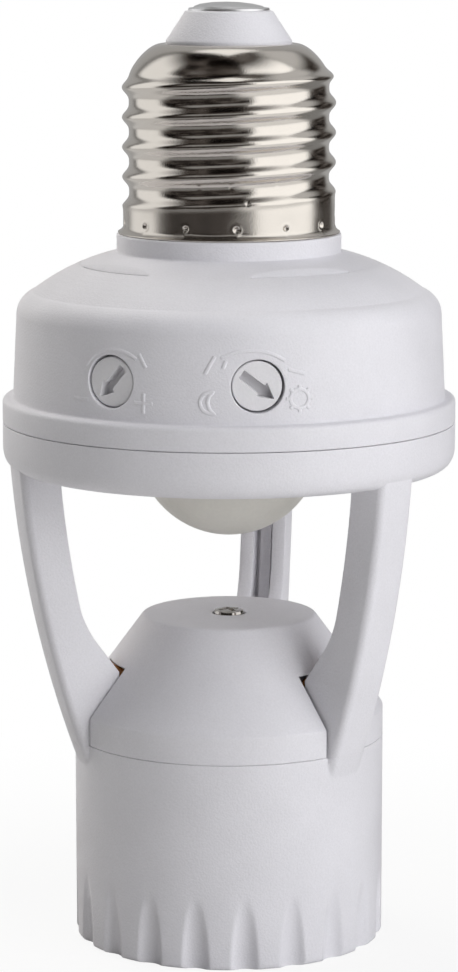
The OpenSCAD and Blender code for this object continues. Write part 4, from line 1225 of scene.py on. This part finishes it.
def studio_panels(tree, way, front):
    """The strength of the studio in the direction of a vector: the strongest panel there, each one a
    product of four smooth steps, or else the uneven dark room. Azimuth is atan2(x, -y) less the camera's,
    wrapped to a full turn, and elevation is the angle above the level."""
    def calculate(operation, *inputs):
        return add_node(tree, "Math", dict(enumerate(inputs)), operation=operation).outputs[0]

    def band(value, low, high, soft):
        """1 between two edges in degrees and 0 outside them, by a smooth step up and a smooth step down."""
        steps = [add_node(tree, "MapRange", {
            "Value": value, "From Min": math.radians(edge - soft), "From Max": math.radians(edge + soft),
            "To Min": start, "To Max": 1.0 - start}, interpolation_type="SMOOTHSTEP").outputs[0]
            for edge, start in ((low, 0.0), (high, 1.0))]
        return calculate("MULTIPLY", *steps)

    parts = add_node(tree, "SeparateXYZ", {0: way}).outputs
    level = calculate("SQRT", calculate("ADD", calculate("MULTIPLY", parts["X"], parts["X"]),
                                        calculate("MULTIPLY", parts["Y"], parts["Y"])))
    elevation = calculate("ARCTAN2", parts["Z"], level)
    azimuth = calculate("ARCTAN2", parts["X"], calculate("MULTIPLY", parts["Y"], -1.0))
    azimuth = calculate("WRAP", calculate("SUBTRACT", azimuth, math.radians(front)), 2 * math.pi, 0.0)
    stretched = add_node(tree, "VectorMath", {0: way, 1: (1.0, 1.0, 3.0)}, operation="MULTIPLY")
    cloud = add_node(tree, "TexNoise", {"Vector": stretched.outputs[0], "Scale": 3.0, "Detail": 3.0})
    total = add_node(tree, "MapRange", {
        "Value": cloud.outputs["Fac"], "From Min": 0.45, "From Max": 0.65, "To Min": STUDIO_DARK[0],
        "To Max": STUDIO_DARK[1]}).outputs[0]
    for (left, right, side_soft), (low, high, soft), strength in STUDIO_PANELS:
        panel = calculate("MULTIPLY", band(azimuth, left, right, side_soft), band(elevation, low, high, soft))
        total = calculate("MAXIMUM", total, calculate("MULTIPLY", panel, strength))
    return total


def studio_tone(tree, strength):
    """The colour of the studio at a given strength: warm in the dark room, white from a fifth up."""
    share = add_node(tree, "Math", {0: strength, 1: 5.0}, operation="MULTIPLY")
    tone = add_node(tree, "Mix", {
        0: share.outputs[0], 6: rgba(linear(STUDIO_DARK_COLOUR)), 7: (1, 1, 1, 1)}, data_type="RGBA")
    return tone.outputs[2]


def studio_world(context, stage):
    """White to the camera. Metal sees the studio's panels in a dark room, everything else an even fill."""
    world = bpy.data.worlds.new("studio")
    context.scene.world = world
    world.use_nodes = True
    tree = world.node_tree
    tree.nodes.clear()
    way = add_node(tree, "TexCoord").outputs["Generated"]
    seen = studio_panels(tree, way, stage.azimuth)
    path = add_node(tree, "LightPath")
    fill = add_node(tree, "Background", {"Color": (1, 1, 1, 1), "Strength": stage.fill})
    glossy = add_node(tree, "Background", {"Color": studio_tone(tree, seen), "Strength": seen})
    white = add_node(tree, "Background", {"Color": (1, 1, 1, 1), "Strength": 1.0})
    mixed = add_node(tree, "MixShader", {
        0: path.outputs["Is Glossy Ray"], 1: fill.outputs[0], 2: glossy.outputs[0]})
    through = add_node(tree, "Math", {
        0: path.outputs["Is Camera Ray"], 1: path.outputs["Is Transmission Ray"]}, operation="MAXIMUM")
    mixed = add_node(tree, "MixShader", {
        0: through.outputs[0], 1: mixed.outputs[0], 2: white.outputs[0]})
    add_node(tree, "OutputWorld", {"Surface": mixed.outputs[0]})


def studio_floor(stage):
    """A large plain floor. Near the part it is a matt white surface that takes its shadow, and further out it
    turns to the plain white of the background for the camera. Metal sees the panels' light on it, as from the
    shell's height."""
    size, level, shell_height = 6000.0, -0.02, 0.1
    corners = [(-size, -size, level), (size, -size, level), (size, size, level), (-size, size, level)]
    floor = mesh_object("floor", [(np.array(corners), [[0, 1, 2, 3]])])
    if floor.data.polygons[0].normal.z < 0:
        floor.data.flip_normals()
    material = bpy.data.materials.new("studio_floor")
    material.use_nodes = True
    tree = material.node_tree
    tree.nodes.clear()
    place = add_node(tree, "TexCoord").outputs["Object"]
    reach = add_node(tree, "VectorMath", {0: place}, operation="LENGTH")
    near = add_node(tree, "MapRange", {
        "Value": reach.outputs["Value"], "From Min": 0.02, "From Max": 0.11, "To Min": 0.88, "To Max": 1.0},
        interpolation_type="SMOOTHSTEP")
    path = add_node(tree, "LightPath")
    seen = add_node(tree, "Math", {
        0: path.outputs["Is Camera Ray"], 1: near.outputs[0]}, operation="MULTIPLY")
    from_shell = add_node(tree, "VectorMath", {0: place, 1: (0, 0, -shell_height)}, operation="ADD")
    panels = studio_panels(tree, from_shell.outputs[0], stage.azimuth)
    matt = add_node(tree, "BsdfDiffuse", {"Color": rgba(stage.floor, 0.74)})
    plain = add_node(tree, "Emission", {"Color": rgba(stage.floor), "Strength": 1.0})
    sheen = add_node(tree, "Emission", {"Color": studio_tone(tree, panels), "Strength": panels})
    mixed = add_node(tree, "MixShader", {
        0: seen.outputs[0], 1: matt.outputs[0], 2: plain.outputs[0]})
    mixed = add_node(tree, "MixShader", {
        0: path.outputs["Is Glossy Ray"], 1: mixed.outputs[0], 2: sheen.outputs[0]})
    add_node(tree, "OutputMaterial", {"Surface": mixed.outputs[0]})
    floor.data.materials.append(material)


def studio_camera(context, stage):
    """The photograph's camera, on a circle round the part and looking slightly down."""
    data = bpy.data.cameras.new("camera")
    data.lens = stage.lens
    data.sensor_fit, data.sensor_width, data.sensor_height = "VERTICAL", 36, 36
    data.clip_start, data.clip_end = 0.01, 50
    camera = bpy.data.objects.new("camera", data)
    context.scene.collection.objects.link(camera)
    turn, far = math.radians(stage.azimuth), stage.distance * MM
    camera.location = (far * math.sin(turn), -far * math.cos(turn), stage.height * MM)
    camera.rotation_euler = (math.radians(90 - stage.pitch), 0, turn)
    context.scene.camera = camera


class ADAPTER_OT_stage(bpy.types.Operator):
    """Builds the floor, the studio light and the camera"""
    bl_idname = "adapter.stage"
    bl_label = "Stage"

    def execute(self, context):
        stage = sizes(context, "stage")
        studio_floor(stage)
        studio_world(context, stage)
        studio_lights(context, stage)
        studio_camera(context, stage)
        context.scene.view_settings.view_transform = "Standard"
        return {"FINISHED"}


class ADAPTER_PT_pieces(bpy.types.Panel):
    """Lists the pieces and their sizes"""
    bl_label = "Socket adapter"
    bl_space_type = "VIEW_3D"
    bl_region_type = "UI"
    bl_category = "Adapter"

    def draw(self, context):
        for operator in OPERATORS:
            self.layout.operator(operator.bl_idname, text=operator.bl_label)
        for name in GROUPS:
            box = self.layout.box()
            group = getattr(context.scene, name)
            for key in group.bl_rna.properties.keys():
                if key not in ("rna_type", "name"):
                    box.prop(group, key)


OPERATORS = (ADAPTER_OT_stage, ADAPTER_OT_cover, ADAPTER_OT_signs, ADAPTER_OT_knobs, ADAPTER_OT_arm_housing,
             ADAPTER_OT_cap, ADAPTER_OT_lens, ADAPTER_OT_shell, ADAPTER_OT_sleeve, ADAPTER_OT_leads,
             ADAPTER_OT_inner)


def register():
    for cls in (*GROUPS.values(), *OPERATORS, ADAPTER_PT_pieces):
        bpy.utils.register_class(cls)
    for name, group in GROUPS.items():
        setattr(bpy.types.Scene, name, PointerProperty(type=group))


def unregister():
    for name in GROUPS:
        delattr(bpy.types.Scene, name)
    for cls in reversed((*GROUPS.values(), *OPERATORS, ADAPTER_PT_pieces)):
        bpy.utils.unregister_class(cls)


def main():
    register()
    for operator in OPERATORS:
        group, name = operator.bl_idname.split(".")
        getattr(getattr(bpy.ops, group), name)()


if __name__ == "__main__":
    main()
